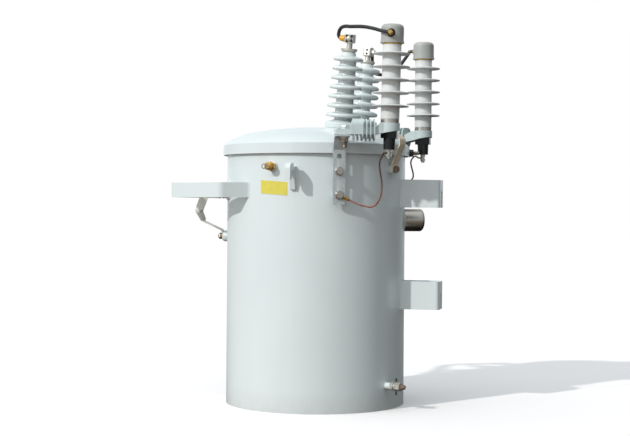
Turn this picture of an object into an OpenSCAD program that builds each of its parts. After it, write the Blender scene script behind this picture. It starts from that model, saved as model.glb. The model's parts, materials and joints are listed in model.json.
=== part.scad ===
// Single-phase pole mounted transformer: a round oil tank with a pressed cover, two high voltage
// bushings, two surge arresters on finned brackets, pole hangers and a low voltage guard.
// Origin at the centre of the tank's lower edge, +Z up, the pole at +Y, the low voltage side at -Y.

/* [Tank] */
// Outside diameter of the tank
tank_d = 510; // [460:1:560]
// Height of the tank wall
tank_h = 722; // [660:1:780]
// Thickness of the tank wall
tank_wall = 3; // [2:0.5:5]
// Thickness of the base plate
base_t = 5; // [4:0.5:8]
// Height of the base plate above the tank's lower edge
base_recess = 12; // [8:1:20]
// Width of the flange ring round the tank's top edge
rim_w = 7; // [5:0.5:10]
// Thickness of that flange ring
rim_t = 6; // [4:0.5:9]
// Free height above core, coils and oil
air_h = 95; // [70:1:140]

/* [Cover] */
// Thickness of the cover sheet
cover_t = 3; // [2:0.5:4]
// Thickness of the gasket under the cover
gasket_t = 6; // [4:0.5:8]
// Height of the skirt round the cover
skirt_h = 28; // [20:1:36]
// Gap between the skirt and the tank's flange ring
skirt_gap = 2; // [1:0.5:4]
// Thickness of the cover's rim over the gasket
cover_rim_t = 6; // [4:0.5:9]
// Rise of the crown above the skirt
crown_h = 54; // [40:1:65]
// Radius of the rounded shoulder between skirt and crown
shoulder_r = 173; // [120:1:200]
// Width of the shoulder, measured along the radius
shoulder_w = 77; // [60:1:95]

/* [High voltage bushings] */
// Distance of each bushing from the tank axis
hv_pitch_r = 182; // [165:1:190]
// Angle of the near bushing from the side of the tank towards the pole
hv_angle_near = 37; // [28:0.5:45]
// Angle of the far bushing from the side of the tank towards the pole
hv_angle_far = 30; // [28:0.5:45]
// Lean of the bushings, in degrees
hv_lean = 6.5; // [0:0.5:9]
// Height of the seat above the cover at the bushing's axis
hv_pad_h = 5; // [5:0.5:14]
// Radius of that seat
hv_pad_r = 51; // [48:0.5:56]
// Radius of the ring that the porcelain stands on
hv_ring_r = 47; // [44:0.5:50]
// Thickness of that ring
hv_ring_t = 3; // [2:0.5:8]
// Radius of the porcelain foot
hv_foot_r = 49.5; // [44:0.5:50]
// Height of the porcelain foot
hv_foot_h = 15; // [10:0.5:20]
// Radius of the porcelain core at its foot
hv_core_r = 25.5; // [22:0.5:30]
// Radius of the porcelain core at its highest shed
hv_top_r = 22.5; // [18:0.5:26]
// Radius of the porcelain neck under the metal cap
hv_neck_r = 19; // [16:0.5:22]
// Number of sheds on each bushing
hv_sheds = 7; // [5:1:9]
// Distance from one shed to the next
hv_shed_pitch = 25.7; // [22:0.1:30]
// Radius of the lowest shed
hv_shed_r = 49.5; // [44:0.5:54]
// Radius of the highest shed
hv_shed_top_r = 41.5; // [38:0.5:50]
// Thickness of a shed at its round edge
hv_shed_t = 10.5; // [6:0.5:12]

/* [High voltage terminals] */
// Radius of the metal cap on the bushing
hv_cap_r = 22.5; // [20:0.5:26]
// Thickness of that cap
hv_cap_t = 10; // [8:0.5:14]
// Radius of the stem above the cap
hv_stem_r = 8; // [6:0.5:10]
// Height of the stem
hv_stem_h = 16; // [10:0.5:24]
// Length of the connector block along its lead
hv_block_l = 28; // [24:0.5:36]
// Width of the connector block
hv_block_w = 24; // [20:0.5:30]
// Height of the connector block
hv_block_h = 23; // [18:0.5:30]

/* [Surge arresters] */
// Radius of the arrester housing
arr_r = 25; // [22:0.5:30]
// Height of the housing above its end ring
arr_h = 210; // [180:1:230]
// Radius of the sheds
arr_shed_r = 49.5; // [42:0.5:56]
// Thickness of a shed at its edge
arr_shed_t = 3; // [2:0.5:5]
// Distance from one shed to the next
arr_shed_pitch = 35; // [30:0.5:40]
// Height of the lowest shed above the end ring
arr_shed_low = 36; // [20:0.5:40]
// Height of the metal end ring
arr_ring_h = 11; // [8:0.5:16]
// Lean of the near arrester towards the pole, in degrees
arr_lean_near = 1.3; // [0:0.1:4]
// Lean of the far arrester towards the pole, in degrees
arr_lean_far = 0; // [0:0.1:4]
// Radius of the cap over the arrester's terminal
cap_r = 30.5; // [28:0.5:36]
// Height of that cap
cap_h = 50.5; // [45:0.5:70]
// Thickness of the cap's wall
cap_wall = 3; // [2:0.5:4]
// Radius of the lead port in the cap
port_r = 11; // [9:0.5:13]
// Height of the port above the cap's lower edge
port_h = 25; // [20:0.5:30]

/* [Arrester brackets] */
// Plan angle of the carrying strips from the side of the tank towards the pole
strip_angle = 26.9; // [24:0.1:32]
// Width of the strips
strip_w = 34; // [28:0.5:40]
// Thickness of the strips
strip_t = 5; // [4:0.5:7]
// Length of the upright part of the strips
strip_l = 147; // [130:1:160]
// Height of the strips' upper flange above the tank wall
flange_up = 32; // [28:0.5:40]
// Distance from the upright's inner face to the bracket bolt
bolt_out = 29; // [26:0.5:34]
// Distance of the bracket bolt from the strip's centre line, towards the pole
bolt_aside = 8.5; // [0:0.5:9]
// Width of the two long slots in each strip
slot_w = 14; // [12:0.5:16]
// Length of those slots
slot_l = 56; // [44:1:60]
// Bearing of the bracket arms in plan, in degrees from the side of the tank
arm_bearing = 106.7; // [100:0.1:112]
// Distance from bolt to arrester on the near bracket
reach_near = 120.5; // [116:0.5:142]
// Distance from bolt to arrester on the far bracket
reach_far = 134; // [116:0.5:142]
// Height by which the far strip sits higher in its slots
lift_far = 4; // [0:0.5:8]
// Width of the bracket's tongue
tongue_w = 34; // [28:0.5:36]
// Thickness of the bracket's tongue
tongue_t = 14; // [10:0.5:18]
// Height of the bracket's fins
fin_h = 58; // [48:1:66]
// Width of the bracket's fins
fin_w = 56; // [44:1:64]
// Thickness of the bracket's fins
fin_t = 3.2; // [3:0.1:6]
// Gap between the bracket's fins
fin_gap = 7.4; // [4:0.1:8]
// Radius of the boss under the arrester
boss_r = 27; // [25:0.5:32]
// Thickness of that boss
boss_t = 24; // [20:0.5:28]

/* [Disconnectors] */
// Width across the flats of the disconnector's collar
collar_w = 43.5; // [40:0.5:46]
// Height of the collar
collar_h = 17; // [14:0.5:24]
// Radius of the disconnector's body
discon_r = 15.5; // [14:0.5:20]
// Height of the disconnector's body
discon_h = 30; // [24:0.5:36]
// Radius of the stud under it
stud_r = 5; // [4:0.5:7]
// Length of the stud
stud_l = 24; // [20:0.5:30]

/* [Pole hangers] */
// Width of the hangers
hanger_w = 70; // [60:1:100]
// Height of the hangers
hanger_h = 79; // [65:1:95]
// Drop of the upper hanger's top edge towards the pole
hanger_drop = 1.5; // [0:0.5:8]
// Thickness of the hanger plate
hanger_t = 6; // [5:0.5:8]
// Distance from the tank to the pole face
hanger_reach = 109; // [90:1:130]
// Depth of the upper hanger's middle below the tank's top edge
hanger_depth = 122; // [110:1:150]
// Distance between the hangers' bolts
hanger_pitch = 286; // [270:1:300]
// Width of the bolt slots in the hangers
hanger_slot_w = 18; // [16:0.5:22]

/* [Lifting lugs] */
// Thickness of the lugs
lug_t = 14; // [12:0.5:18]
// Distance that the lugs stand out from the tank
lug_out = 62; // [50:0.5:70]
// Height of the lugs
lug_h = 71; // [60:0.5:80]
// Depth of the lugs' top below the tank's top edge
lug_depth = 44; // [38:1:70]

/* [Fittings] */
// Plan angle of the relief valve
relief_angle = -13.6; // [-18:0.1:-10]
// Depth of the relief valve below the tank's top edge
relief_depth = 52; // [46:1:70]
// Radius of the relief valve's body
relief_r = 10; // [8:0.5:12]
// Length of the relief valve
relief_l = 27; // [22:0.5:32]
// Plan angle of the tap changer's cap
tap_angle = 118; // [112:0.5:124]
// Depth of the tap changer below the tank's top edge
tap_depth = 198; // [190:1:240]
// Radius of the tap changer's cap
tap_r = 33; // [28:0.5:36]
// Distance that the tap changer's cap stands out
tap_l = 61; // [55:0.5:75]
// Plan angle of the drain valve
drain_angle = 64.3; // [60:0.1:68]
// Height of the drain valve
drain_z = 68; // [60:0.5:80]
// Length of the drain valve without its outlet
drain_l = 31; // [26:0.5:38]
// Length of the drain valve's cross pin
drain_pin_l = 40; // [34:0.5:46]
// Plan angle of the strap that bonds the cover to the tank
bond_angle = 67; // [65:0.5:70]
// Depth of the bonding strap's boss below the tank's top edge
bond_depth = 56; // [50:1:70]
// Width of that strap
bond_w = 28; // [20:0.5:30]

/* [Low voltage side] */
// Height of the guard bar
guard_h = 41; // [34:0.5:50]
// Thickness of the guard bar
guard_t = 6; // [5:0.5:8]
// Depth of guard and low voltage bushings below the tank's top edge
guard_depth = 116; // [100:1:140]
// Length of the guard's front, as a share of its distance from the tank's axis
guard_front_share = 0.788; // [0.7:0.002:0.9]
// Length of each slanting side, as a share of that distance
guard_side_share = 0.524; // [0.48:0.002:0.56]
// Clear space between the low voltage terminals and the guard
guard_clear = 28; // [20:1:45]
// Angle between the low voltage bushings
lv_spread = 28; // [24:0.5:30]
// Radius of the low voltage bushings
lv_r = 20; // [16:0.5:22]
// Length of the low voltage bushings
lv_l = 46; // [40:0.5:54]
// Length of the flat terminals
spade_l = 36; // [32:0.5:42]
// Width of the flat terminals
spade_w = 28; // [24:0.5:32]
// Thickness of the flat terminals
spade_t = 6; // [5:0.5:8]
// Radius of the hole in the flat terminals
spade_hole_r = 7; // [5.5:0.25:8]
// Depth of the ground boss below the tank's top edge
ground_depth = 248; // [225:1:280]
// Width of the neutral strap
neutral_w = 24; // [20:0.5:30]
// Thickness of the copper straps
strap_t = 3; // [2:0.5:4]

/* [Leads] */
// Diameter of the covered leads to the arresters
jumper_d = 10; // [7:0.5:12]
// Diameter of the bare ground leads
ground_d = 4.5; // [4:0.5:6]
// Length of the crimped lug on each ground lead
crimp_l = 20; // [14:0.5:26]

/* [Hidden] */
$fn = 64;
// Sides of the large rounds, and of the arcs in the cover's outline
round_fn = 180;
arc_fn = 720;
// Steps of the round edges of the turned cups
cup_steps = 8;
// Overrun of every cut
over = 1;
// Gap between a piece and the round wall that it is welded to or slips over
fit = 0.2;

// Tank and cover
tank_r = tank_d / 2;
inner_r = tank_r - tank_wall;
base_top = base_recess + base_t;
fill_h = tank_h - air_h - base_top - fit;
rim_r = tank_r + rim_w;
cover_r = rim_r + skirt_gap + cover_t;
seat_z = tank_h + gasket_t;
skirt_top = seat_z + cover_rim_t;
skirt_low = skirt_top - skirt_h;
cover_top = skirt_top + crown_h;
crown_edge_r = cover_r - shoulder_w;

// The shoulder's arc starts on the skirt's top edge and runs tangent into the crown's arc,
// so the slope where they meet follows from the rise that the two arcs share.
function shoulder_fall(tilt) = shoulder_r * (cos(tilt) - cos(asin(sin(tilt) + shoulder_w / shoulder_r)));
function crown_fall(tilt) = crown_edge_r * (1 - cos(tilt)) / sin(tilt);
function tilt_for(fall, low, high, n) =
    let (mid = (low + high) / 2)
    n == 0 ? mid :
    shoulder_fall(mid) + crown_fall(mid) < fall ? tilt_for(fall, mid, high, n - 1) :
    tilt_for(fall, low, mid, n - 1);
tilt_low = 1;
tilt_high = 30;
tilt_steps = 40;
crown_tilt = tilt_for(crown_h, tilt_low, tilt_high, tilt_steps);
crown_r = crown_edge_r / sin(crown_tilt);
crown_z = cover_top - crown_r;
shoulder_x = crown_edge_r - shoulder_r * sin(crown_tilt);
shoulder_z = crown_z + (crown_r - shoulder_r) * cos(crown_tilt);
function dome_z(r) = r < crown_edge_r
    ? crown_z + sqrt(crown_r * crown_r - r * r)
    : shoulder_z + sqrt(shoulder_r * shoulder_r - pow(r - shoulder_x, 2));
function dome_slope(r) = r < crown_edge_r ? asin(r / crown_r) : asin((r - shoulder_x) / shoulder_r);

// High voltage bushings, as heights along the bushing's own axis
hv_seat_z = dome_z(hv_pitch_r) + hv_pad_h;
hv_pad_l = 2 * hv_pad_h;
hv_foot_top = hv_ring_t + hv_foot_h;
hv_foot_round = 4;
hv_foot_taper_share = 0.45;
hv_first_shed_share = 0.77;
hv_last_shed_share = 0.69;
hv_root_share = 1.65;
hv_shed_low = hv_foot_top + hv_shed_pitch * hv_first_shed_share;
hv_shed_high = hv_shed_low + hv_shed_pitch * (hv_sheds - 1);
hv_shed_drop = 1;
hv_root_t = hv_shed_t * hv_root_share;
hv_body_top = hv_shed_high + hv_shed_pitch * hv_last_shed_share;
hv_block_low = hv_body_top + hv_cap_t + hv_stem_h;
hv_block_z = hv_block_low + hv_block_h / 2;
hv_block_round = 5;
hv_cap_low_share = 0.72;
hv_cap_edge_share = 0.55;
hv_lean_bearing = 57;
arr_lean_bearing = 90;
// Bearings of the connector blocks' leads, seen on the near side
block_bearing_near = -90;
block_bearing_far = 8;

// Bracket strips, in the plane through the tank axis and the strip
strip_gap = 4;
strip_face_r = cover_r + strip_gap;
strip_boss_h = strip_face_r - tank_r;
strip_boss_r = 12;
flange_top = tank_h + flange_up;
flange_low = flange_top - strip_t;
strip_slant_out = 17;
strip_slant_h = 35;
strip_top = flange_low - strip_slant_h;
strip_low = strip_top - strip_l;
strip_round = 8;
flange_out = 18;
slot_edge = 10;
slot_web = 8;
slot_high_z = strip_top - slot_edge - slot_l / 2;
slot_low_z = slot_high_z - slot_l - slot_web;
slot_bolt_share = 0.34;
strip_bolt_high = slot_high_z - slot_l * slot_bolt_share;
strip_bolt_low = slot_low_z - slot_l * slot_bolt_share;
bracket_hole_r = 6.5;

// Arrester brackets, along the arm from its bolt
bolt_r = strip_face_r + bolt_out;
strip_dir = [cos(strip_angle), sin(strip_angle)];
bolt_pos = bolt_r * strip_dir + bolt_aside * [-strip_dir[1], strip_dir[0]];
arm_dir = [cos(arm_bearing), sin(arm_bearing)];
boss_rise = 32;
boss_top = flange_top + boss_rise;
tongue_back = 28;
tongue_round = 5;
block_start = 15;
block_l = 32.5;
block_chamfer = 6.5;
block_chamfer_h = 15;
fins = 3;
fin_pitch = fin_t + fin_gap;
fin_round = 17;
fin_low = -16;
fin_start = block_start + block_l + fin_gap;
fin_end = fin_start + fins * fin_pitch - fin_gap;
block_ribs = 3;
neck_w = 40;
neck_high_share = 0.62;
boss_tilt = 10.8;

// Arresters, as heights above the bracket's boss
arr_root_share = 2.6;
arr_root_t = arr_shed_t * arr_root_share;
arr_edge_drop = 2;
// As many sheds as the housing holds below its bare neck
arr_neck = 28;
arr_sheds = floor((arr_h - arr_shed_low - arr_neck) / arr_shed_pitch) + 1;
cap_lap = 8;
cap_low = arr_ring_h + arr_h - cap_lap;
cap_flare = 1.5;
cap_flare_h = 5;
cap_round = 11;
electrode_r = 7;
electrode_h = port_h;
// Bearings of the caps' ports, seen on the near side
port_bearing_near = 4.5;
port_bearing_far = -85;

// Disconnectors hang under the bracket's boss
discon_taper = 0.8;
discon_low = boss_t + collar_h + discon_h;
nut_w = 16;
nut_h = 7;
nut_gap = 5;

// The side is 1 for the near side at +X and -1 for the far side, which is drawn mirrored
function reach(side) = side > 0 ? reach_near : reach_far;
function lift(side) = side > 0 ? 0 : lift_far;
function arr_lean(side) = side > 0 ? arr_lean_near : arr_lean_far;
function hv_angle(side) = side > 0 ? hv_angle_near : hv_angle_far;
function hv_pos(side) = hv_pitch_r * [cos(hv_angle(side)), sin(hv_angle(side))];
function port_bearing(side) = side > 0 ? port_bearing_near : port_bearing_far;
function block_bearing(side) = side > 0 ? block_bearing_near : block_bearing_far;
function arr_pos(side) = bolt_pos + reach(side) * arm_dir;
// The point p of a frame at o whose upright axis leans by the angle a towards a bearing
function leaning(o, a, bearing, p) =
    let (u = [cos(bearing), sin(bearing), 0], s = p * u)
    o + p + u * (s * cos(a) + p[2] * sin(a) - s) + [0, 0, p[2] * cos(a) - s * sin(a) - p[2]];
function arr_foot(side) = [each arr_pos(side), boss_top + lift(side)];
function arr_point(side, p) = leaning(arr_foot(side), arr_lean(side), arr_lean_bearing, p);
function hv_point(side, p) = leaning([each hv_pos(side), hv_seat_z], hv_lean, hv_lean_bearing, p);
function polar(r, bearing, z) = [r * cos(bearing), r * sin(bearing), z];

// Hangers, lugs and guard
hanger_y = tank_r + hanger_reach;
hanger_high_z = tank_h - hanger_depth;
hanger_low_z = hanger_high_z - hanger_pitch;
lug_low_z = tank_h - lug_depth - lug_h;
hanger_bend_r = 10;
// The lug's outline as shares of its reach and of its height, from its lowest inner corner
lug_shares = [
    [0, 0], [0.16, 0], [0.36, 0.66], [0.5, 0.66], [0.74, 0.38], [1, 0.38], [1, 0.78], [0.78, 1], [0.44, 1],
    [0.38, 0.88], [0, 0.88]
];
lug_shoulder_share = [0.78, 0.78];
lug_notch_share = [0.43, 0.66];
lug_notch_r_share = 0.07;
guard_bend_r = 20;
guard_bend_steps = 6;
guard_turn = 60;

// Fittings
relief_z = tank_h - relief_depth;
relief_boss_r = 14;
relief_boss_h = 5;
relief_hex_share = 1.3;
relief_hex_h = 9;
relief_neck_share = 0.7;
relief_head_l = 14;
relief_nose_h = 2;
drain_boss_r = 9;
drain_boss_h = 20;
drain_hex_r = 12;
drain_hex_h = 7;
drain_body_r = 9;
drain_pin_r = 1.6;
drain_spout_r = 4;
drain_spout_l = 14;
tap_z = tank_h - tap_depth;
tap_boss_h = 5;
tap_rim = 3;
tap_round = 9;
bond_z = tank_h - bond_depth;
bond_boss_h = 14;
bond_boss_r = 13;
bond_bulge = 29;
bond_rise = 32;
bond_foot = 14;
bond_tail = 9;
bond_bend_r = 11;
bond_top_share = 0.92;
strap_bend_steps = 5;
ground_boss_h = 21;
ground_boss_r = 16;
lv_boss_r = 27;
lv_boss_h = 5;
lv_flange_t = 8;
lv_flange_r = 23;
lv_shed_r = 23;
lv_shed_t = 6;
lv_shed_shares = [0.42, 0.7];
lv_stud_r = 8;
lv_stud_l = 12;
lv_end_r = tank_r + lv_boss_h + lv_l;
spade_mid_r = lv_end_r + lv_stud_l + spade_l / 2;
guard_z = tank_h - guard_depth;
guard_mid = spade_mid_r + (spade_l + guard_t) / 2 + guard_clear;
guard_front = guard_mid * guard_front_share;
guard_side = guard_mid * guard_side_share;
guard_sink = 2 * guard_t;
ground_z = tank_h - ground_depth;
neutral_bend_r = 14;
neutral_end = 13;
// The neutral strap's bends, as shares of the drop from its terminal to its boss: outwards and down
neutral_out_shares = [0, 0.13, 0.02];
neutral_down_shares = [0.1, 0.44, 0.68, 0.88];
neutral_twist_from_share = 0.28;
neutral_twist_to_share = 0.62;

// Paint, porcelain and metals
paint = [0.84, 0.87, 0.87];
porcelain = [0.88, 0.90, 0.90];
polymer = [0.80, 0.81, 0.80];
cap_grey = [0.60, 0.62, 0.59];
bracket_grey = [0.78, 0.83, 0.82];
zinc = [0.70, 0.72, 0.72];
tin = [0.78, 0.77, 0.74];
black = [0.05, 0.05, 0.05];
copper = [0.48, 0.24, 0.17];
brass = [0.78, 0.58, 0.22];
rubber = [0.10, 0.10, 0.10];
oil = [0.55, 0.45, 0.25];

// Routes of the leads, as shares of the straight distance: along it, aside and up
near_jumper_shares = [
    [0, 0, 0], [-0.03, -0.02, 0.015], [-0.04, -0.03, 0.05], [-0.03, -0.03, 0.095], [-0.005, -0.03, 0.13],
    [0.04, -0.03, 0.155], [0.11, -0.02, 0.16], [0.18, -0.01, 0.15], [0.37, 0, 0.135], [0.53, 0, 0.11],
    [0.7, -0.01, 0.07], [0.87, -0.04, 0.025], [0.99, -0.05, 0], [1, 0, 0]
];
far_jumper_shares = [
    [0, 0, 0], [0.04, -0.13, -0.045], [0.05, -0.23, -0.13], [0.05, -0.265, -0.25], [0.05, -0.265, -0.37],
    [0.085, -0.25, -0.465], [0.17, -0.21, -0.505], [0.32, -0.16, -0.535], [0.5, -0.1, -0.515],
    [0.7, -0.07, -0.375], [0.86, -0.04, -0.18], [0.96, -0.02, -0.04], [1, 0, 0]
];
near_ground_shares = [
    [0, 0, 0], [0.06, 0.02, -0.02], [0.1, 0.04, -0.05], [0.11, 0.07, -0.13], [0.08, 0.09, -0.28],
    [0.04, 0.12, -0.44], [0.03, 0.13, -0.57], [0.05, 0.14, -0.67], [0.11, 0.14, -0.72],
    [0.21, 0.13, -0.72], [0.35, 0.12, -0.64], [0.51, 0.1, -0.5], [0.69, 0.08, -0.33], [0.86, 0.04, -0.15],
    [1, 0, 0]
];
far_ground_shares = [
    [0, 0, 0], [0.07, -0.02, 0.085], [0.16, -0.025, 0.11], [0.2, -0.025, 0.08], [0.195, -0.015, 0.02],
    [0.18, 0.005, -0.055], [0.165, 0.05, -0.155], [0.19, 0.08, -0.21], [0.31, 0.105, -0.19],
    [0.5, 0.11, -0.12], [0.72, 0.1, -0.12], [0.88, 0.05, -0.09], [1, 0, 0]
];
lead_sides = 12;
lead_steps = 3;
// Straight stretches at the ends of the leads
ferrule_l = 9;
port_out = 10;
ground_out = 9;
crimp_r = 4;
crimp_ring_r = 9.5;
crimp_ring_t = 2.5;
crimp_dip = 27;

// Curves and swept shapes
function unit(v) = v / norm(v);
function spline_at(p, i, t) =
    let (a = p[max(i - 1, 0)], b = p[i], c = p[i + 1], d = p[min(i + 2, len(p) - 1)])
    b + ((c - a) * t + (2 * a - 5 * b + 4 * c - d) * t * t + (3 * b - a - 3 * c + d) * t * t * t) / 2;
function spline(p, steps) = concat(
    [for (i = [0:len(p) - 2]) for (k = [0:steps - 1]) spline_at(p, i, k / steps)],
    [p[len(p) - 1]]
);
// A line of straight stretches whose corners are arcs of radius r
function corner(p, i, r, n) =
    let (
        d = unit(p[i] - p[i - 1]), e = unit(p[i + 1] - p[i]), turn = acos(d * e),
        centre = p[i] + unit(e - d) * r / cos(turn / 2), a = p[i] - d * r * tan(turn / 2) - centre
    )
    [for (k = [0:n]) centre + a * cos(turn * k / n) + d * r * sin(turn * k / n)];
function bent(p, r, n) = concat([p[0]], [for (i = [1:len(p) - 2]) each corner(p, i, r, n)], [p[len(p) - 1]]);
function tangent(q, i) = unit(q[min(i + 1, len(q) - 1)] - q[max(i - 1, 0)]);
function square_to(t, n) = unit(n - t * (n * t));
function carried(q, n, i = 0) = i == len(q) ? [] :
    let (m = square_to(tangent(q, i), n)) concat([m], carried(q, m, i + 1));
function held(q, n) = [for (i = [0:len(q) - 1]) square_to(tangent(q, i), n)];
function round_section(d, n) = [for (k = [0:n - 1]) d / 2 * [cos(360 * k / n), sin(360 * k / n)]];
function flat_section(w, t) = [[w, -t] / 2, [w, t] / 2, [-w, t] / 2, [-w, -t] / 2];
function eased(x) = let (c = min(max(x, 0), 1)) c * c * (3 - 2 * c);

// Sweeps a section along the points q. Its first axis ends along the normals, and starts turned
// from them: the turn runs out between two shares of the points.
module sweep(q, section, normals, turn = 0, from = 0, to = 1) {
    last = len(q) - 1;
    m = len(section);
    points = [
        for (i = [0:last])
            let (
                t = tangent(q, i),
                a = turn * (1 - eased((i / last - from) / (to - from))),
                u = normals[i] * cos(a) + cross(t, normals[i]) * sin(a),
                v = cross(t, u)
            )
            for (s = section) q[i] + u * s[0] + v * s[1]
    ];
    sides = [
        for (i = [0:last - 1]) for (k = [0:m - 1])
            let (j = (k + 1) % m, a = i * m, b = a + m)
            each [[a + k, b + k, b + j], [a + k, b + j, a + j]]
    ];
    ends = [[for (k = [0:m - 1]) k], [for (k = [m - 1:-1:0]) last * m + k]];
    polyhedron(points, concat(sides, ends), convexity = 6);
}
function route(a, b, shares) =
    let (d = norm(b - a), aside = unit(cross([0, 0, 1], b - a)))
    [for (s = shares) a + (b - a) * s[0] + aside * d * s[1] + [0, 0, d * s[2]]];

// Frames that carry pieces to their places
module on_tank(angle, z) {
    rotate([0, 0, angle]) translate([tank_r, 0, z]) rotate([0, 90, 0]) children();
}
module mirror_to(side) {
    if (side > 0) children();
    else mirror([1, 0, 0]) children();
}
module lean(a, bearing) {
    rotate([0, 0, bearing]) rotate([0, a, 0]) rotate([0, 0, -bearing]) children();
}
module hv_frame(side) {
    mirror_to(side) translate([each hv_pos(side), hv_seat_z]) lean(hv_lean, hv_lean_bearing) children();
}
module arr_frame(side) {
    mirror_to(side) translate(arr_foot(side)) lean(arr_lean(side), arr_lean_bearing) children();
}
module strip_frame(side) {
    mirror_to(side) rotate([0, 0, strip_angle]) translate([strip_face_r, 0, lift(side)]) children();
}
module arm_frame(side) {
    mirror_to(side) translate([each bolt_pos, flange_top + lift(side)])
        rotate([0, 0, arm_bearing]) children();
}
module tank_cut() {
    translate([0, 0, -over]) cylinder(r = tank_r + fit, h = tank_h + 2 * over, $fn = round_fn);
}

// Flat outlines with round corners, centred
module round_rect(w, h, r) {
    square([w - 2 * r, h], center = true);
    square([w, h - 2 * r], center = true);
    for (x = [-1, 1]) for (y = [-1, 1]) translate([x * (w / 2 - r), y * (h / 2 - r)]) circle(r = r);
}
module stadium(w, l) {
    square([l - w, w], center = true);
    for (x = [-1, 1]) translate([x * (l - w) / 2, 0]) circle(d = w);
}
// Half outline of a turned cup: radius r, height h, with a round upper edge
module cup_outline(r, h, edge) {
    turn = 90 / cup_steps;
    arc = [for (k = [0:cup_steps]) [r - edge, h - edge] + edge * [cos(turn * k), sin(turn * k)]];
    polygon(concat([[0, 0], [r, 0]], arc, [[0, h]]));
}
// Half outline of a shed on a core, with a round edge
module shed_outline(core, tip, root_t, tip_t, drop) {
    edge = tip - tip_t / 2;
    polygon([
        [core / 2, root_t / 2], [core, root_t / 2], [edge, tip_t / 2 - drop],
        [edge, -tip_t / 2 - drop], [core, -root_t / 2], [core / 2, -root_t / 2]
    ]);
    translate([edge, -drop]) circle(d = tip_t);
}

// Tank
module weld_boss(angle, z, r, h) {
    on_tank(angle, z) translate([0, 0, -tank_wall / 2]) cylinder(r = r, h = h + tank_wall / 2);
}
module tank_shell() {
    color(paint) union() {
        rotate_extrude($fn = round_fn) polygon([
            [inner_r, 0], [tank_r, 0], [tank_r, tank_h - rim_t], [rim_r, tank_h - rim_t],
            [rim_r, tank_h], [inner_r, tank_h]
        ]);
        for (side = [1, -1]) for (z = [strip_bolt_low, strip_bolt_high])
            mirror_to(side) weld_boss(strip_angle, z, strip_boss_r, strip_boss_h);
        for (k = [-1:1]) weld_boss(-90 + k * lv_spread, guard_z, lv_boss_r, lv_boss_h);
        weld_boss(-90, ground_z, ground_boss_r, ground_boss_h);
        weld_boss(relief_angle, relief_z, relief_boss_r, relief_boss_h);
        weld_boss(tap_angle, tap_z, tap_r + tap_rim, tap_boss_h);
        weld_boss(drain_angle, drain_z, drain_boss_r, drain_boss_h);
        weld_boss(bond_angle, bond_z, bond_boss_r, bond_boss_h);
    }
}
module tank_base() {
    color(paint) translate([0, 0, base_recess]) cylinder(r = inner_r - fit, h = base_t, $fn = round_fn);
}
module core_and_oil() {
    color(oil) translate([0, 0, base_top + fit]) cylinder(r = inner_r - fit, h = fill_h, $fn = round_fn);
}
module cover_gasket() {
    color(rubber) rotate_extrude($fn = round_fn)
        translate([inner_r, tank_h]) square([rim_r - inner_r, gasket_t]);
}
// Half outline of what lies under the dome, less a sheet thickness
module dome_outline(t) {
    intersection() {
        translate([0, crown_z]) circle(r = crown_r - t, $fn = arc_fn);
        translate([0, seat_z]) square([crown_edge_r, cover_top - seat_z]);
    }
    intersection() {
        translate([shoulder_x, shoulder_z]) circle(r = shoulder_r - t, $fn = arc_fn);
        translate([crown_edge_r, seat_z]) square([shoulder_w - t, cover_top - seat_z]);
    }
}
module tank_cover() {
    color(paint) union() {
        rotate_extrude($fn = round_fn) difference() {
            union() {
                dome_outline(0);
                translate([inner_r, skirt_low]) square([cover_r - inner_r, skirt_h]);
            }
            intersection() {
                dome_outline(cover_t);
                translate([0, seat_z]) square([inner_r, crown_h + cover_rim_t]);
            }
            translate([inner_r - over, skirt_low - over])
                square([cover_r - cover_t - inner_r + over, seat_z - skirt_low + over]);
        }
        for (side = [1, -1]) hv_frame(side) translate([0, 0, -hv_pad_l])
            cylinder(r = hv_pad_r, h = hv_pad_l);
    }
}

// High voltage bushings
module hv_flange(side) {
    color(paint) hv_frame(side) difference() {
        cylinder(r = hv_ring_r, h = hv_ring_t);
        translate([0, 0, -over]) cylinder(r = hv_core_r, h = hv_ring_t + 2 * over);
    }
}
module hv_bushing(side) {
    color(porcelain) hv_frame(side) union() {
        rotate_extrude() polygon([
            [0, hv_ring_t], [hv_foot_r, hv_ring_t], [hv_foot_r, hv_foot_top - hv_foot_round],
            [hv_foot_r - hv_foot_round, hv_foot_top],
            [hv_core_r, hv_foot_top + hv_foot_h * hv_foot_taper_share],
            [hv_top_r, hv_shed_high], [hv_neck_r, hv_body_top], [0, hv_body_top]
        ]);
        for (k = [0:hv_sheds - 1])
            let (tip = hv_shed_r + (hv_shed_top_r - hv_shed_r) * k / (hv_sheds - 1))
            translate([0, 0, hv_shed_low + k * hv_shed_pitch]) rotate_extrude()
                shed_outline(hv_top_r, tip, hv_root_t, hv_shed_t, hv_shed_drop);
    }
}
module hv_terminal(side) {
    color(tin) hv_frame(side) difference() {
        translate([0, 0, hv_body_top]) union() {
            rotate_extrude() polygon([
                [0, 0], [hv_cap_r * hv_cap_low_share, 0], [hv_cap_r, hv_cap_t * hv_cap_edge_share],
                [hv_cap_r, hv_cap_t], [0, hv_cap_t]
            ]);
            cylinder(r = hv_stem_r, h = hv_cap_t + hv_stem_h + over);
            translate([0, 0, hv_cap_t + hv_stem_h]) rotate([0, 0, block_bearing(side)])
                linear_extrude(hv_block_h) round_rect(hv_block_l, hv_block_w, hv_block_round);
        }
        translate([0, 0, hv_block_z]) rotate([0, 0, block_bearing(side)]) rotate([0, 90, 0])
            cylinder(r = jumper_d / 2 + fit, h = hv_block_l / 2 + over);
    }
}

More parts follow.
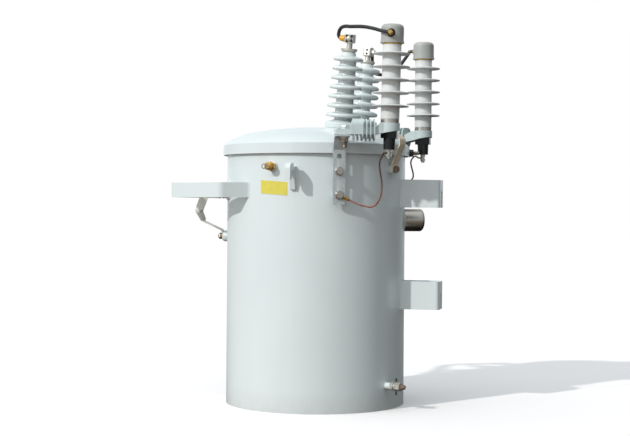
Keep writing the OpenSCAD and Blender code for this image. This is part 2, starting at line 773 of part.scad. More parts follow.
// Surge arresters
module arrester_ring(side) {
    color(tin) arr_frame(side) cylinder(r = arr_r, h = arr_ring_h);
}
module arrester(side) {
    color(polymer) arr_frame(side) translate([0, 0, arr_ring_h]) union() {
        cylinder(r = arr_r, h = arr_h);
        for (k = [0:arr_sheds - 1]) translate([0, 0, arr_shed_low + k * arr_shed_pitch]) rotate_extrude()
            shed_outline(arr_r - over, arr_shed_r, arr_root_t, arr_shed_t, arr_edge_drop);
        cylinder(r = electrode_r, h = arr_h + electrode_h);
    }
}
module arrester_cap(side) {
    color(cap_grey) arr_frame(side) translate([0, 0, cap_low]) difference() {
        union() {
            rotate_extrude() cup_outline(cap_r, cap_h, cap_round);
            cylinder(r = cap_r + cap_flare, h = cap_flare_h);
        }
        translate([0, 0, -over]) cylinder(r = arr_r + fit, h = cap_lap + 2 * over);
        translate([0, 0, cap_lap]) rotate_extrude()
            cup_outline(cap_r - cap_wall, cap_h - cap_lap - cap_wall, cap_round - cap_wall);
        translate([0, 0, port_h]) rotate([0, 0, port_bearing(side)]) rotate([0, 90, 0])
            cylinder(r = port_r, h = cap_r + over);
    }
}

// Brackets and their strips
module arrester_bracket(side) {
    tongue_l = tongue_back + block_start + block_l / 2;
    color(bracket_grey) union() {
        arm_frame(side) difference() {
            union() {
                translate([tongue_l / 2 - tongue_back, 0, 0])
                    linear_extrude(tongue_t) round_rect(tongue_l, tongue_w, tongue_round);
                bracket_block();
                for (k = [0:fins - 1]) translate([fin_start + k * fin_pitch, 0, 0]) bracket_fin(fin_t);
                translate([block_start, 0, 0]) bracket_spine(reach(side) - block_start);
            }
            translate([0, 0, -over]) cylinder(r = bracket_hole_r, h = tongue_t + 2 * over);
            translate([reach(side), 0, -boss_t]) cylinder(r = boss_r - over, h = boss_rise + 2 * boss_t);
        }
        arr_frame(side) difference() {
            translate([0, 0, -2 * boss_t]) cylinder(r = boss_r, h = 2 * boss_t);
            boss_slant() translate([0, 0, -2 * boss_t]) cylinder(r = 2 * boss_r, h = 2 * boss_t);
        }
    }
}
// The boss ends below on a slant that falls towards the arm
module boss_slant() {
    translate([0, 0, -boss_t]) rotate([0, 0, arm_bearing]) rotate([0, -boss_tilt, 0]) children();
}
module bracket_fin(t) {
    rotate([90, 0, 90]) linear_extrude(t)
        translate([0, fin_low + fin_h / 2]) round_rect(fin_w, fin_h, fin_round);
}
// A closed block with round ends, whose lower side shows ribs
module bracket_block() {
    difference() {
        intersection() {
            translate([block_start, 0, 0]) bracket_fin(block_l);
            translate([block_start, fin_w / 2, fin_low]) rotate([90, 0, 0]) linear_extrude(fin_w) polygon([
                [0, 0], [block_l, 0], [block_l, fin_h], [block_chamfer, fin_h], [0, fin_h - block_chamfer_h]
            ]);
        }
        for (k = [0:block_ribs - 1])
            translate([block_start - over + k * fin_pitch, -fin_w / 2 - over, fin_low - over])
                cube([fin_gap + over, fin_w + 2 * over, -fin_low + over]);
    }
}
// The spine runs through the fins to the boss
module bracket_spine(l) {
    fin_run = fin_end - block_start;
    end = l - boss_r / 2;
    function slant(x) = boss_rise - boss_t + fit - tan(boss_tilt) * (l - x);
    low = slant(fin_run);
    translate([0, neck_w / 2, 0]) rotate([90, 0, 0]) linear_extrude(neck_w) polygon([
        [0, low], [fin_run, low], [end, slant(end)],
        [end, boss_rise - over], [l - boss_r, boss_rise - over],
        [fin_run, boss_rise * neck_high_share], [0, boss_rise * neck_high_share]
    ]);
}
module bracket_strip(side) {
    out = bolt_out + flange_out;
    high = flange_top + strip_round;
    color(zinc) strip_frame(side) difference() {
        intersection() {
            translate([0, strip_w / 2, 0]) rotate([90, 0, 0]) linear_extrude(strip_w) polygon([
                [0, strip_low], [strip_t, strip_low], [strip_t, strip_top],
                [strip_slant_out + strip_t / 2, flange_low], [out, flange_low], [out, flange_top],
                [strip_slant_out, flange_top], [0, strip_top + strip_t / 2]
            ]);
            translate([-over, 0, (high + strip_low) / 2]) rotate([90, 0, 90]) linear_extrude(out + 2 * over)
                round_rect(strip_w, high - strip_low, strip_round);
        }
        for (z = [slot_low_z, slot_high_z]) translate([-over, 0, z]) rotate([0, 90, 0])
            linear_extrude(strip_t + 2 * over) stadium(slot_w, slot_l);
        translate([bolt_out, bolt_aside, flange_low - over])
            cylinder(r = bracket_hole_r, h = strip_t + 2 * over);
    }
}

// Disconnectors
module disconnector(side) {
    color(black) arr_frame(side) union() {
        difference() {
            translate([0, 0, -boss_t - collar_h])
                cylinder(d = collar_w / cos(30), h = 2 * collar_h, $fn = 6);
            boss_slant() cylinder(r = 2 * collar_w, h = 2 * collar_h);
        }
        translate([0, 0, -discon_low]) rotate_extrude() polygon([
            [0, 0], [discon_r, 0], [discon_r + discon_taper, discon_h],
            [discon_r + discon_taper, discon_h + collar_h / 4], [0, discon_h + collar_h / 4]
        ]);
    }
}
module disconnector_stud(side) {
    color(tin) arr_frame(side) translate([0, 0, -discon_low]) mirror([0, 0, 1]) union() {
        cylinder(r = stud_r, h = stud_l);
        cylinder(d = nut_w, h = nut_h, $fn = 6);
        translate([0, 0, nut_h + nut_gap]) cylinder(d = nut_w, h = nut_h, $fn = 6);
    }
}

// Leads, drawn on the near side and mirrored
module hv_jumper(side) {
    b = block_bearing(side);
    c = port_bearing(side);
    block_mid = hv_point(side, [0, 0, hv_block_z]);
    block_face = hv_point(side, polar(hv_block_l / 2, b, hv_block_z));
    start = hv_point(side, polar(hv_block_l / 2 + ferrule_l, b, hv_block_z));
    mouth = arr_point(side, polar(cap_r + port_out, c, cap_low + port_h));
    end = arr_point(side, polar(electrode_r + fit, c, cap_low + port_h));
    shares = side > 0 ? near_jumper_shares : far_jumper_shares;
    q = concat([block_mid, block_face], route(start, mouth, shares), [end]);
    line = spline(q, lead_steps);
    color(black) mirror_to(side) sweep(line, round_section(jumper_d, lead_sides), carried(line, [0, 0, 1]));
}
module ground_lead(side) {
    stud_z = -discon_low - nut_h - nut_gap / 2;
    stud = arr_point(side, [0, -stud_r - fit, stud_z]);
    start = arr_point(side, [0, -stud_r - ground_out, stud_z]);
    ring_r = strip_face_r + strip_t + fit;
    ring = [each (ring_r + crimp_r) * strip_dir, strip_bolt_low];
    way = [-strip_dir[1] * cos(crimp_dip), strip_dir[0] * cos(crimp_dip), -sin(crimp_dip)];
    crimp = ring + way * crimp_ring_r;
    end = crimp + way * crimp_l;
    barrel = [crimp, end];
    way_points = concat([stud], route(start, end, side > 0 ? near_ground_shares : far_ground_shares));
    line = concat(spline(way_points, lead_steps), [crimp + way * crimp_r]);
    color(copper) mirror_to(side) union() {
        sweep(line, round_section(ground_d, lead_sides), carried(line, [1, 0, 0]));
        sweep(barrel, round_section(2 * crimp_r, 2 * lead_sides), carried(barrel, [0, 0, 1]));
        translate([each ring_r * strip_dir, strip_bolt_low]) rotate([0, 90, strip_angle]) difference() {
            cylinder(r = crimp_ring_r + crimp_r / 2, h = crimp_ring_t);
            translate([0, 0, -over]) cylinder(r = bracket_hole_r, h = crimp_ring_t + 2 * over);
        }
    }
}

// Pole hangers: a bent channel with a bolt slot that is open below
module hanger_channel() {
    linear_extrude(hanger_h) difference() {
        translate([0, hanger_y / 2]) round_rect(hanger_w, hanger_y, hanger_bend_r);
        translate([0, hanger_y / 2 - hanger_t])
            round_rect(hanger_w - 2 * hanger_t, hanger_y, hanger_bend_r - hanger_t);
    }
}
module hanger_slot() {
    translate([0, hanger_y + over, hanger_h / 2]) rotate([90, 0, 0]) linear_extrude(hanger_t + 2 * over) {
        circle(d = hanger_slot_w);
        translate([-hanger_slot_w / 2, -hanger_h / 2 - over]) square([hanger_slot_w, hanger_h / 2 + over]);
    }
}
module upper_hanger() {
    slope = atan(hanger_drop / hanger_reach);
    color(paint) difference() {
        translate([0, 0, hanger_high_z - hanger_h / 2]) difference() {
            hanger_channel();
            hanger_slot();
            translate([-hanger_w / 2 - over, tank_r, hanger_h]) rotate([-slope, 0, 0])
                cube([hanger_w + 2 * over, 2 * hanger_reach, hanger_h]);
        }
        tank_cut();
    }
}
module lower_hanger() {
    color(paint) difference() {
        translate([0, 0, hanger_low_z - hanger_h / 2]) difference() {
            hanger_channel();
            hanger_slot();
        }
        tank_cut();
    }
}

// Lifting lugs: a hook over the sling, open downwards
function lug_point(s) = [tank_r + lug_out * s[0], lug_low_z + lug_h * s[1]];
module lifting_lug(side) {
    color(paint) mirror_to(side) difference() {
        translate([0, lug_t / 2, 0]) rotate([90, 0, 0]) linear_extrude(lug_t) difference() {
            union() {
                polygon([for (s = lug_shares) lug_point(s)]);
                translate(lug_point(lug_shoulder_share)) circle(r = lug_out * (1 - lug_shoulder_share[0]));
            }
            translate(lug_point(lug_notch_share)) circle(r = lug_out * lug_notch_r_share);
        }
        tank_cut();
    }
}

// Fittings
module relief_valve() {
    color(brass) on_tank(relief_angle, relief_z) translate([0, 0, relief_boss_h]) union() {
        cylinder(r = relief_r * relief_hex_share, h = relief_hex_h, $fn = 6);
        cylinder(r = relief_r * relief_neck_share, h = relief_l - over);
        translate([0, 0, relief_l - relief_head_l]) rotate_extrude() polygon([
            [0, 0], [relief_r, 0], [relief_r, relief_head_l - relief_nose_h],
            [relief_r * relief_neck_share, relief_head_l], [0, relief_head_l]
        ]);
    }
}
module tap_changer_cap() {
    color(zinc) on_tank(tap_angle, tap_z) translate([0, 0, tap_boss_h]) rotate_extrude()
        cup_outline(tap_r, tap_l, tap_round);
}
module drain_valve() {
    color(tin) on_tank(drain_angle, drain_z) translate([0, 0, drain_boss_h]) union() {
        cylinder(r = drain_hex_r, h = drain_hex_h, $fn = 6);
        cylinder(r = drain_body_r, h = drain_l - over);
        translate([0, 0, drain_l - 2 * drain_hex_h]) cylinder(r = drain_hex_r, h = 2 * drain_hex_h, $fn = 6);
        cylinder(r = drain_spout_r, h = drain_l + drain_spout_l);
        translate([0, 0, drain_l / 2]) rotate([0, 90, 0])
            cylinder(r = drain_pin_r, h = drain_pin_l, center = true);
    }
}
// The strap rises from its boss, bulges round the skirt and lies on the cover
module cover_bond_strap() {
    face = tank_r + bond_boss_h + strap_t / 2;
    bulge = cover_r + bond_bulge;
    foot_r = cover_r * bond_top_share;
    slope = dome_slope(foot_r);
    out = [cos(slope), 0, -sin(slope)];
    foot = [foot_r, 0, dome_z(foot_r)] + (strap_t / 2 + fit) * [sin(slope), 0, cos(slope)];
    q = bent([
        [face, 0, bond_z - bond_tail], [face, 0, bond_z + bond_foot], [bulge, 0, skirt_top],
        [bulge, 0, skirt_top + bond_bulge / 2], [foot_r + bond_bulge, 0, skirt_top + bond_rise],
        foot + out * bond_foot, foot - out * bond_foot
    ], bond_bend_r, strap_bend_steps);
    color(tin) rotate([0, 0, bond_angle]) sweep(q, flat_section(bond_w, strap_t), held(q, [0, 1, 0]));
}

// Low voltage side
module lv_guard() {
    front = [guard_front / 2, -guard_mid];
    side_corner = front + guard_side * [cos(guard_turn), sin(guard_turn)];
    arm = [-cos(guard_turn), sin(guard_turn)];
    inward = -side_corner * arm;
    to_wall = inward - sqrt(inward * inward - side_corner * side_corner + tank_r * tank_r);
    foot = side_corner + (to_wall + guard_sink) * arm;
    half = [front, side_corner, foot];
    line = concat([for (k = [2:-1:0]) half[k]], [for (p = half) [-p[0], p[1]]]);
    q = bent(line, guard_bend_r, guard_bend_steps);
    last = len(q) - 1;
    function edge(i, d) = let (t = tangent(q, i)) q[i] + d * [-t[1], t[0]];
    color(paint) difference() {
        translate([0, 0, guard_z - guard_h / 2]) linear_extrude(guard_h) polygon(concat(
            [for (i = [0:last]) edge(i, guard_t / 2)], [for (i = [last:-1:0]) edge(i, -guard_t / 2)]
        ));
        tank_cut();
    }
}
module lv_bushing(k) {
    color(porcelain) on_tank(-90 + k * lv_spread, guard_z) translate([0, 0, lv_boss_h]) union() {
        cylinder(r = lv_flange_r, h = lv_flange_t);
        cylinder(r = lv_r, h = lv_l);
        for (s = lv_shed_shares) translate([0, 0, lv_l * s]) rotate_extrude()
            shed_outline(lv_r - over, lv_shed_r, lv_shed_t, lv_shed_t / 2, 0);
    }
}
// The outer blades lie flat, with upright bolt holes, and the middle one stands on edge for its strap
module lv_terminals() {
    color(tin) for (k = [-1:1]) on_tank(-90 + k * lv_spread, guard_z) translate([0, 0, lv_boss_h + lv_l])
        difference() {
            union() {
                cylinder(r = lv_stud_r, h = lv_stud_l + over);
                rotate([0, 0, 90 * k]) translate([-spade_w / 2, -spade_t / 2, lv_stud_l])
                    cube([spade_w, spade_t, spade_l]);
            }
            translate([0, 0, lv_stud_l + spade_l / 2]) rotate([90, 0, 90 * k])
                cylinder(r = spade_hole_r, h = spade_t + 2 * over, center = true);
        }
}
// The strap hangs flat on the middle terminal, bows outwards, turns a quarter and ends on the boss
module neutral_strap() {
    drop = guard_z - ground_z;
    low_r = tank_r + ground_boss_h + strap_t / 2 + fit;
    top_x = (spade_t + strap_t) / 2 + fit;
    function hang(x, out, down) = [x, -spade_mid_r - drop * out, guard_z - drop * down];
    q = bent([
        [top_x, -spade_mid_r, guard_z + neutral_end],
        hang(top_x, neutral_out_shares[0], neutral_down_shares[0]),
        hang(top_x, neutral_out_shares[1], neutral_down_shares[1]),
        hang(0, neutral_out_shares[2], neutral_down_shares[2]),
        [0, -low_r, guard_z - drop * neutral_down_shares[3]], [0, -low_r, ground_z - neutral_end]
    ], neutral_bend_r, strap_bend_steps);
    color(tin) sweep(q, flat_section(neutral_w, strap_t), held(q, [1, 0, 0]), 90,
        neutral_twist_from_share, neutral_twist_to_share);
}

tank_shell();
tank_base();
tank_cover();
cover_gasket();
core_and_oil();
hv_flange(1);  // hv_flange_near
hv_flange(-1);  // hv_flange_far
hv_bushing(1);  // hv_bushing_near
hv_bushing(-1);  // hv_bushing_far
hv_terminal(1);  // hv_terminal_near
hv_terminal(-1);  // hv_terminal_far
arrester_ring(1);  // arrester_ring_near
arrester_ring(-1);  // arrester_ring_far
arrester(1);  // arrester_near
arrester(-1);  // arrester_far
arrester_cap(1);  // arrester_cap_near
arrester_cap(-1);  // arrester_cap_far
arrester_bracket(1);  // arrester_bracket_near
arrester_bracket(-1);  // arrester_bracket_far
bracket_strip(1);  // bracket_strip_near
bracket_strip(-1);  // bracket_strip_far
disconnector(1);  // disconnector_near
disconnector(-1);  // disconnector_far
disconnector_stud(1);  // disconnector_stud_near
disconnector_stud(-1);  // disconnector_stud_far
hv_jumper(1);  // hv_jumper_near
hv_jumper(-1);  // hv_jumper_far
ground_lead(1);  // ground_lead_near
ground_lead(-1);  // ground_lead_far
upper_hanger();
lower_hanger();
lifting_lug(1);  // lifting_lug_near
lifting_lug(-1);  // lifting_lug_far
relief_valve();
tap_changer_cap();
drain_valve();
cover_bond_strap();
lv_guard();
lv_bushing(1);  // lv_bushing_near
lv_bushing(0);  // lv_bushing_middle
lv_bushing(-1);  // lv_bushing_far
lv_terminals();
neutral_strap();
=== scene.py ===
"""Looks of the pole mounted transformer: finishes, small hardware, floor, light and camera."""
import json
from math import asin, copysign, cos, pi, radians, sin, sqrt

import bmesh
import bpy
from mathutils import Matrix, Vector


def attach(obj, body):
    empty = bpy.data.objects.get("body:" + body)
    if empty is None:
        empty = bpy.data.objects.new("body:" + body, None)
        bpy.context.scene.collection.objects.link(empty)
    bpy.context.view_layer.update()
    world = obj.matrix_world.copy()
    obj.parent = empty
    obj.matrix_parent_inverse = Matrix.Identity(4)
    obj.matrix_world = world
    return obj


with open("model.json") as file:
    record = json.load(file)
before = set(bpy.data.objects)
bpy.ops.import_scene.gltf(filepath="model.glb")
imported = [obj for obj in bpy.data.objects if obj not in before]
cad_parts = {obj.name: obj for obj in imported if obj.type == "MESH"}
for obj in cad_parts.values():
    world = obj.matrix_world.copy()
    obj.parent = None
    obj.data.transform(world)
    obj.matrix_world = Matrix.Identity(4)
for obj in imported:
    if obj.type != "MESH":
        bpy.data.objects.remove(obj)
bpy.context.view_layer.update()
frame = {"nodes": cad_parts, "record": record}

NODES = frame["nodes"]
UP = Vector((0, 0, 1))

# Sizes shared with the part, in metres and degrees
TANK_R = 0.255
SKIRT_R = 0.267
CROWN_R = 1.0111
CROWN_EDGE_R = 0.190
COVER_TOP = 0.788
SHOULDER_R = 0.173
STRIP_ANGLE = 26.9
STRIP_FACE_R = 0.271
STRIP_T = 0.005
STRIP_BOLT_Z = {"upper": 0.657, "lower": 0.593}
STRIP_BOSS_R = 0.012
RING_T = 0.0025
BOLT_OUT = 0.029
BOLT_ASIDE = 0.0085
FLANGE_TOP = 0.754
TONGUE_T = 0.014
ARM_BEARING = 106.7
ARM_REACH = {"near": 0.1205, "far": 0.134}
LIFT = {"near": 0.0, "far": 0.004}
ARR_LEAN = {"near": 1.3, "far": 0.0}
ARR_LEAN_BEARING = 90
BOSS_TOP = 0.786
ARR_R = 0.025
CAP_LOW = 0.213
CAP_R = 0.0305
PORT_H = 0.025
PORT_BEARING = {"near": 4.5, "far": -85.0}
HV_PITCH_R = 0.182
HV_ANGLE = {"near": 37.0, "far": 30.0}
HV_SEAT_Z = 0.7765
HV_LEAN = 6.5
HV_LEAN_BEARING = 57.0
HV_PAD_R = 0.051
BLOCK_Z = 0.2472
BLOCK_BEARING = {"near": -90.0, "far": 8.0}
BLOCK_L = 0.028
BLOCK_W = 0.024
BLOCK_H = 0.023
LEAD_R = 0.005
LUG_T = 0.014
LUG_LOW = 0.607
LUG_ROOT_H = 0.0625
HANGER_W = 0.070
HANGER_H = 0.079
HANGER_Z = {"upper": 0.600, "lower": 0.314}
GUARD_Z = 0.606
GUARD_H = 0.041
GUARD_T = 0.006
GUARD_CORNER = (0.2526, -0.2103)
GUARD_TURN = 120.0
LV_SPREAD = 28.0
LV_BOSS_R = 0.027
LV_END_R = 0.306
SPADE_R = 0.336
SPADE_T = 0.006
STRAP_T = 0.003
GROUND_Z = 0.474
GROUND_FACE_R = 0.2793
GROUND_BOSS_R = 0.016
RELIEF_ANGLE = -13.6
RELIEF_Z = 0.670
RELIEF_TIP_R = 0.287
RELIEF_BOSS_R = 0.014
TAP_ANGLE = 118.0
TAP_Z = 0.524
TAP_BOSS_R = 0.036
DRAIN_ANGLE = 64.3
DRAIN_Z = 0.068
DRAIN_BOSS_R = 0.009
DRAIN_PIN_R = 0.2905
DRAIN_PIN_L = 0.040
BOND_ANGLE = 67.0
BOND_Z = 0.666
BOND_FACE_R = 0.2722
BOND_BOSS_R = 0.013
BOND_FOOT_R = 0.2456
SIDES = {"near": 1, "far": -1}
LV_SIDE = -90
LV_BEARING = {"near": LV_SIDE + LV_SPREAD, "middle": LV_SIDE, "far": LV_SIDE - LV_SPREAD}

# Clearance of added pieces on the part, and the angles above which an edge stays sharp
FIT = 0.0002
SHARP_ANGLE = 35.0
BEAD_SHARP_ANGLE = 80.0

# Materials: every finish is worked out from noise on the part's own coordinates.
# The MIX values are the colour sockets of the mix node
MIX_FIRST = 6
MIX_SECOND = 7
MIX_RESULT = 2
NOISE_ROUGHNESS = 0.55
COAT_ROUGHNESS = 0.12
DRIFT_STOPS = (0.36, 0.62, 0.8)
LIGHT_MOTTLE = 0.6
GLOSS_FINENESS = 6
DUST_TOP = 0.06
DUST_COLOUR = (0.44, 0.43, 0.40)
STREAK_COLOUR = (0.93, 0.94, 0.93)
DULL_ZINC = (0.55, 0.60, 0.60)
TARNISH_Z = (0.604, 0.640)


def node_tree(name):
    """A new material with its node tree, shader and part coordinates."""
    material = bpy.data.materials.new(name)
    material.use_nodes = True
    nodes = material.node_tree.nodes
    shader = nodes["Principled BSDF"]
    coords = nodes.new("ShaderNodeTexCoord")
    return material, material.node_tree, shader, coords


def noise(tree, coords, scale, detail=4.0, stretch=(1, 1, 1)):
    """Fac output of a noise texture whose coordinates are stretched along the axes."""
    mapping = tree.nodes.new("ShaderNodeMapping")
    mapping.inputs["Scale"].default_value = stretch
    texture = tree.nodes.new("ShaderNodeTexNoise")
    texture.inputs["Scale"].default_value = scale
    texture.inputs["Detail"].default_value = detail
    texture.inputs["Roughness"].default_value = NOISE_ROUGHNESS
    tree.links.new(coords.outputs["Object"], mapping.inputs["Vector"])
    tree.links.new(mapping.outputs["Vector"], texture.inputs["Vector"])
    return texture.outputs["Fac"]


def ramp(tree, value, stops):
    """A colour ramp over value, from (position, colour) stops."""
    node = tree.nodes.new("ShaderNodeValToRGB")
    elements = node.color_ramp.elements
    for element, (position, colour) in zip(elements, stops):
        element.position = position
        element.color = (*colour, 1)
    for position, colour in stops[2:]:
        element = elements.new(position)
        element.color = (*colour, 1)
    tree.links.new(value, node.inputs["Fac"])
    return node.outputs["Color"]


def spread(tree, value, low, high, start=0.3, end=0.7):
    """The value's range from start to end mapped to low..high."""
    node = tree.nodes.new("ShaderNodeMapRange")
    node.inputs["From Min"].default_value = start
    node.inputs["From Max"].default_value = end
    node.inputs["To Min"].default_value = low
    node.inputs["To Max"].default_value = high
    tree.links.new(value, node.inputs["Value"])
    return node.outputs["Result"]


def height_of(tree, coords):
    """The part's own height, in metres."""
    split = tree.nodes.new("ShaderNodeSeparateXYZ")
    tree.links.new(coords.outputs["Object"], split.inputs["Vector"])
    return split.outputs["Z"]


def mixed(tree, factor, first, second, blend="MIX"):
    """Colour first blended with second, which is a socket or a plain colour, by the factor."""
    node = tree.nodes.new("ShaderNodeMix")
    node.data_type = "RGBA"
    node.blend_type = blend
    tree.links.new(factor, node.inputs["Factor"])
    tree.links.new(first, node.inputs[MIX_FIRST])
    if isinstance(second, tuple):
        node.inputs[MIX_SECOND].default_value = (*second, 1)
    else:
        tree.links.new(second, node.inputs[MIX_SECOND])
    return node.outputs[MIX_RESULT]


def product(tree, first, second):
    """One value times another."""
    node = tree.nodes.new("ShaderNodeMath")
    node.operation = "MULTIPLY"
    tree.links.new(first, node.inputs[0])
    tree.links.new(second, node.inputs[1])
    return node.outputs["Value"]


def bump(tree, shader, height, depth, strength=1.0):
    """Fine relief on the shader, depth in metres."""
    node = tree.nodes.new("ShaderNodeBump")
    node.inputs["Strength"].default_value = strength
    node.inputs["Distance"].default_value = depth
    tree.links.new(height, node.inputs["Height"])
    tree.links.new(node.outputs["Normal"], shader.inputs["Normal"])


def shade(colour, factor):
    """A colour made lighter or darker."""
    return tuple(min(1.0, c * factor) for c in colour)


def finish(name, colour, rough, metallic=0.0, mottle=0.06, mottle_scale=9.0, grain_scale=420.0,
           grain_depth=0.00006, stretch=(1, 1, 1), coat=0.0, tint=None):
    """A surface with slow colour drift, uneven gloss and a fine grain.

    rough is (low, high) roughness; tint is the colour that the drift leans to."""
    material, tree, shader, coords = node_tree(name)
    shader.inputs["Metallic"].default_value = metallic
    shader.inputs["Coat Weight"].default_value = coat
    shader.inputs["Coat Roughness"].default_value = COAT_ROUGHNESS
    drift = noise(tree, coords, mottle_scale, detail=6.0, stretch=stretch)
    dark = tint or shade(colour, 1 - mottle)
    light = shade(colour, 1 + mottle * LIGHT_MOTTLE)
    base = ramp(tree, drift, list(zip(DRIFT_STOPS, (dark, colour, light))))
    tree.links.new(base, shader.inputs["Base Color"])
    gloss = noise(tree, coords, mottle_scale * GLOSS_FINENESS, detail=5.0, stretch=stretch)
    tree.links.new(spread(tree, gloss, *rough), shader.inputs["Roughness"])
    grain = noise(tree, coords, grain_scale, detail=3.0, stretch=stretch)
    bump(tree, shader, grain, grain_depth)
    return material


def tank_paint():
    """Semi-gloss enamel with a faint orange peel, rain streaks and dust at the lower edge."""
    material, tree, shader, coords = node_tree("tank_paint")
    shader.inputs["Coat Weight"].default_value = 0.35
    shader.inputs["Coat Roughness"].default_value = 0.10
    drift = noise(tree, coords, 4.0, detail=6.0)
    base = ramp(tree, drift, [(0.3, (0.655, 0.712, 0.712)), (0.55, (0.675, 0.732, 0.732)),
                              (0.8, (0.690, 0.747, 0.747))])
    streaks = noise(tree, coords, 26.0, detail=5.0, stretch=(1, 1, 0.06))
    stained = mixed(tree, spread(tree, streaks, 0.0, 0.22), base, STREAK_COLOUR, "MULTIPLY")
    low = spread(tree, height_of(tree, coords), 0.5, 0.0, 0.0, DUST_TOP)
    dust = product(tree, low, noise(tree, coords, 40.0, detail=6.0))
    tree.links.new(mixed(tree, dust, stained, DUST_COLOUR), shader.inputs["Base Color"])
    gloss = noise(tree, coords, 30.0, detail=5.0)
    tree.links.new(spread(tree, gloss, 0.30, 0.40), shader.inputs["Roughness"])
    bump(tree, shader, noise(tree, coords, 260.0, detail=3.0), 0.00006, 0.5)
    return material


def galvanised():
    """Zinc with the flat crystals of hot dip galvanising and duller patches."""
    material, tree, shader, coords = node_tree("zinc")
    shader.inputs["Metallic"].default_value = 0.55
    crystals = tree.nodes.new("ShaderNodeTexVoronoi")
    crystals.inputs["Scale"].default_value = 190.0
    tree.links.new(coords.outputs["Object"], crystals.inputs["Vector"])
    tone = tree.nodes.new("ShaderNodeSeparateColor")
    tree.links.new(crystals.outputs["Color"], tone.inputs["Color"])
    spangle_stops = [(0.0, (0.50, 0.55, 0.55)), (1.0, (0.64, 0.69, 0.69))]
    spangle = ramp(tree, tone.outputs["Red"], spangle_stops)
    patches = spread(tree, noise(tree, coords, 60.0, detail=5.0), 0.0, 0.5)
    tree.links.new(mixed(tree, patches, spangle, DULL_ZINC), shader.inputs["Base Color"])
    gloss = spread(tree, tone.outputs["Green"], 0.36, 0.56, 0.0, 1.0)
    tree.links.new(gloss, shader.inputs["Roughness"])
    bump(tree, shader, noise(tree, coords, 500.0, detail=3.0), 0.00006)
    return material


def lead_copper():
    """Stranded copper, tarnished brown in its upper half and redder below."""
    material, tree, shader, coords = node_tree("copper")
    shader.inputs["Metallic"].default_value = 0.5
    red = ramp(tree, noise(tree, coords, 90.0, detail=5.0),
               [(0.35, (0.20, 0.072, 0.048)), (0.65, (0.33, 0.130, 0.088))])
    brown = ramp(tree, noise(tree, coords, 70.0, detail=5.0),
                 [(0.35, (0.038, 0.018, 0.015)), (0.65, (0.075, 0.032, 0.027))])
    upper = spread(tree, height_of(tree, coords), 0.0, 1.0, *TARNISH_Z)
    tree.links.new(mixed(tree, upper, red, brown), shader.inputs["Base Color"])
    tree.links.new(spread(tree, noise(tree, coords, 200.0), 0.38, 0.55), shader.inputs["Roughness"])
    bump(tree, shader, noise(tree, coords, 900.0, detail=2.0, stretch=(1, 1, 0.3)), 0.0003)
    return material


MATERIALS = {
    "tank_paint": tank_paint(),
    "gasket": finish("gasket", (0.03, 0.03, 0.03), (0.7, 0.9)),
    "oil": finish("oil", (0.30, 0.22, 0.10), (0.4, 0.6)),
    "porcelain": finish("porcelain", (0.70, 0.75, 0.745), (0.10, 0.18), mottle=0.05, mottle_scale=14,
                        grain_depth=0.00002, coat=0.4, tint=(0.64, 0.70, 0.69)),
    "tinned": finish("tinned", (0.63, 0.61, 0.555), (0.30, 0.44), metallic=0.60, mottle=0.12,
                     mottle_scale=30, grain_scale=700, grain_depth=0.00003),
    "stainless": finish("stainless", (0.56, 0.52, 0.47), (0.24, 0.32), metallic=1.0, mottle=0.10,
                        mottle_scale=30, grain_scale=900, grain_depth=0.00002, stretch=(1, 1, 0.3)),
    "polymer": finish("polymer", (0.70, 0.715, 0.70), (0.38, 0.5), mottle=0.05, grain_scale=600),
    "cap_grey": finish("cap_grey", (0.40, 0.41, 0.385), (0.36, 0.50), mottle=0.07, mottle_scale=30,
                       grain_scale=800),
    "bracket_grey": finish("bracket_grey", (0.56, 0.635, 0.63), (0.42, 0.56), mottle=0.07,
                           mottle_scale=40, grain_scale=700, grain_depth=0.0001,
                           tint=(0.50, 0.58, 0.575)),
    "zinc": galvanised(),
    "black_plastic": finish("black_plastic", (0.004, 0.004, 0.0045), (0.12, 0.20), mottle=0.3,
                            mottle_scale=50),
    "black_cover": finish("black_cover", (0.020, 0.020, 0.024), (0.30, 0.44), mottle=0.3,
                          mottle_scale=60, grain_scale=900, grain_depth=0.0001),
    "copper": lead_copper(),
    "brass": finish("brass", (0.66, 0.42, 0.13), (0.20, 0.34), metallic=0.95, mottle=0.2,
                    mottle_scale=60, grain_scale=800, grain_depth=0.00006),
    "bond_strap": finish("bond_strap", (0.80, 0.70, 0.53), (0.40, 0.55), metallic=0.1, mottle=0.14,
                         mottle_scale=70, grain_scale=600, grain_depth=0.0001),
    "ferrule": finish("ferrule", (0.80, 0.38, 0.03), (0.3, 0.42), mottle=0.1, mottle_scale=60),
    "plate": finish("plate", (0.70, 0.61, 0.08), (0.3, 0.42), mottle=0.06, mottle_scale=60),
    "bronze": finish("bronze", (0.32, 0.245, 0.185), (0.28, 0.44), metallic=0.6, mottle=0.25,
                     mottle_scale=80),
    "dark_steel": finish("dark_steel", (0.05, 0.05, 0.045), (0.3, 0.48), metallic=0.5, mottle=0.25,
                         mottle_scale=90),
}


# Mesh building
WASHER_EDGE = 0.2
WASHER_SIDES = 40
HEX_EDGE = 0.12
HEX_FOOT = 0.95
HEX_HEAD = 0.93
HEX_TURN = 12.0
THREAD_PITCH = 0.0017
THREAD_ROOT = 0.88
THREAD_END = 0.8
THREAD_SIDES = 24
RIPPLES = ((0.14, 2.1), (0.06, 0.7))
BEAD_SIDES = 8


def rings_mesh(bm, rings, joined=False):
    """Skins a list of vertex rings of equal length; its ends are closed or joined to each other."""
    loops = [[bm.verts.new(p) for p in ring] for ring in rings]
    count = len(loops[0])
    pairs = list(zip(loops, loops[1:]))
    if joined:
        pairs.append((loops[-1], loops[0]))
    for a, b in pairs:
        for k in range(count):
            j = (k + 1) % count
            bm.faces.new((a[k], a[j], b[j], b[k]))
    if not joined:
        bm.faces.new(list(reversed(loops[0])))
        bm.faces.new(loops[-1])


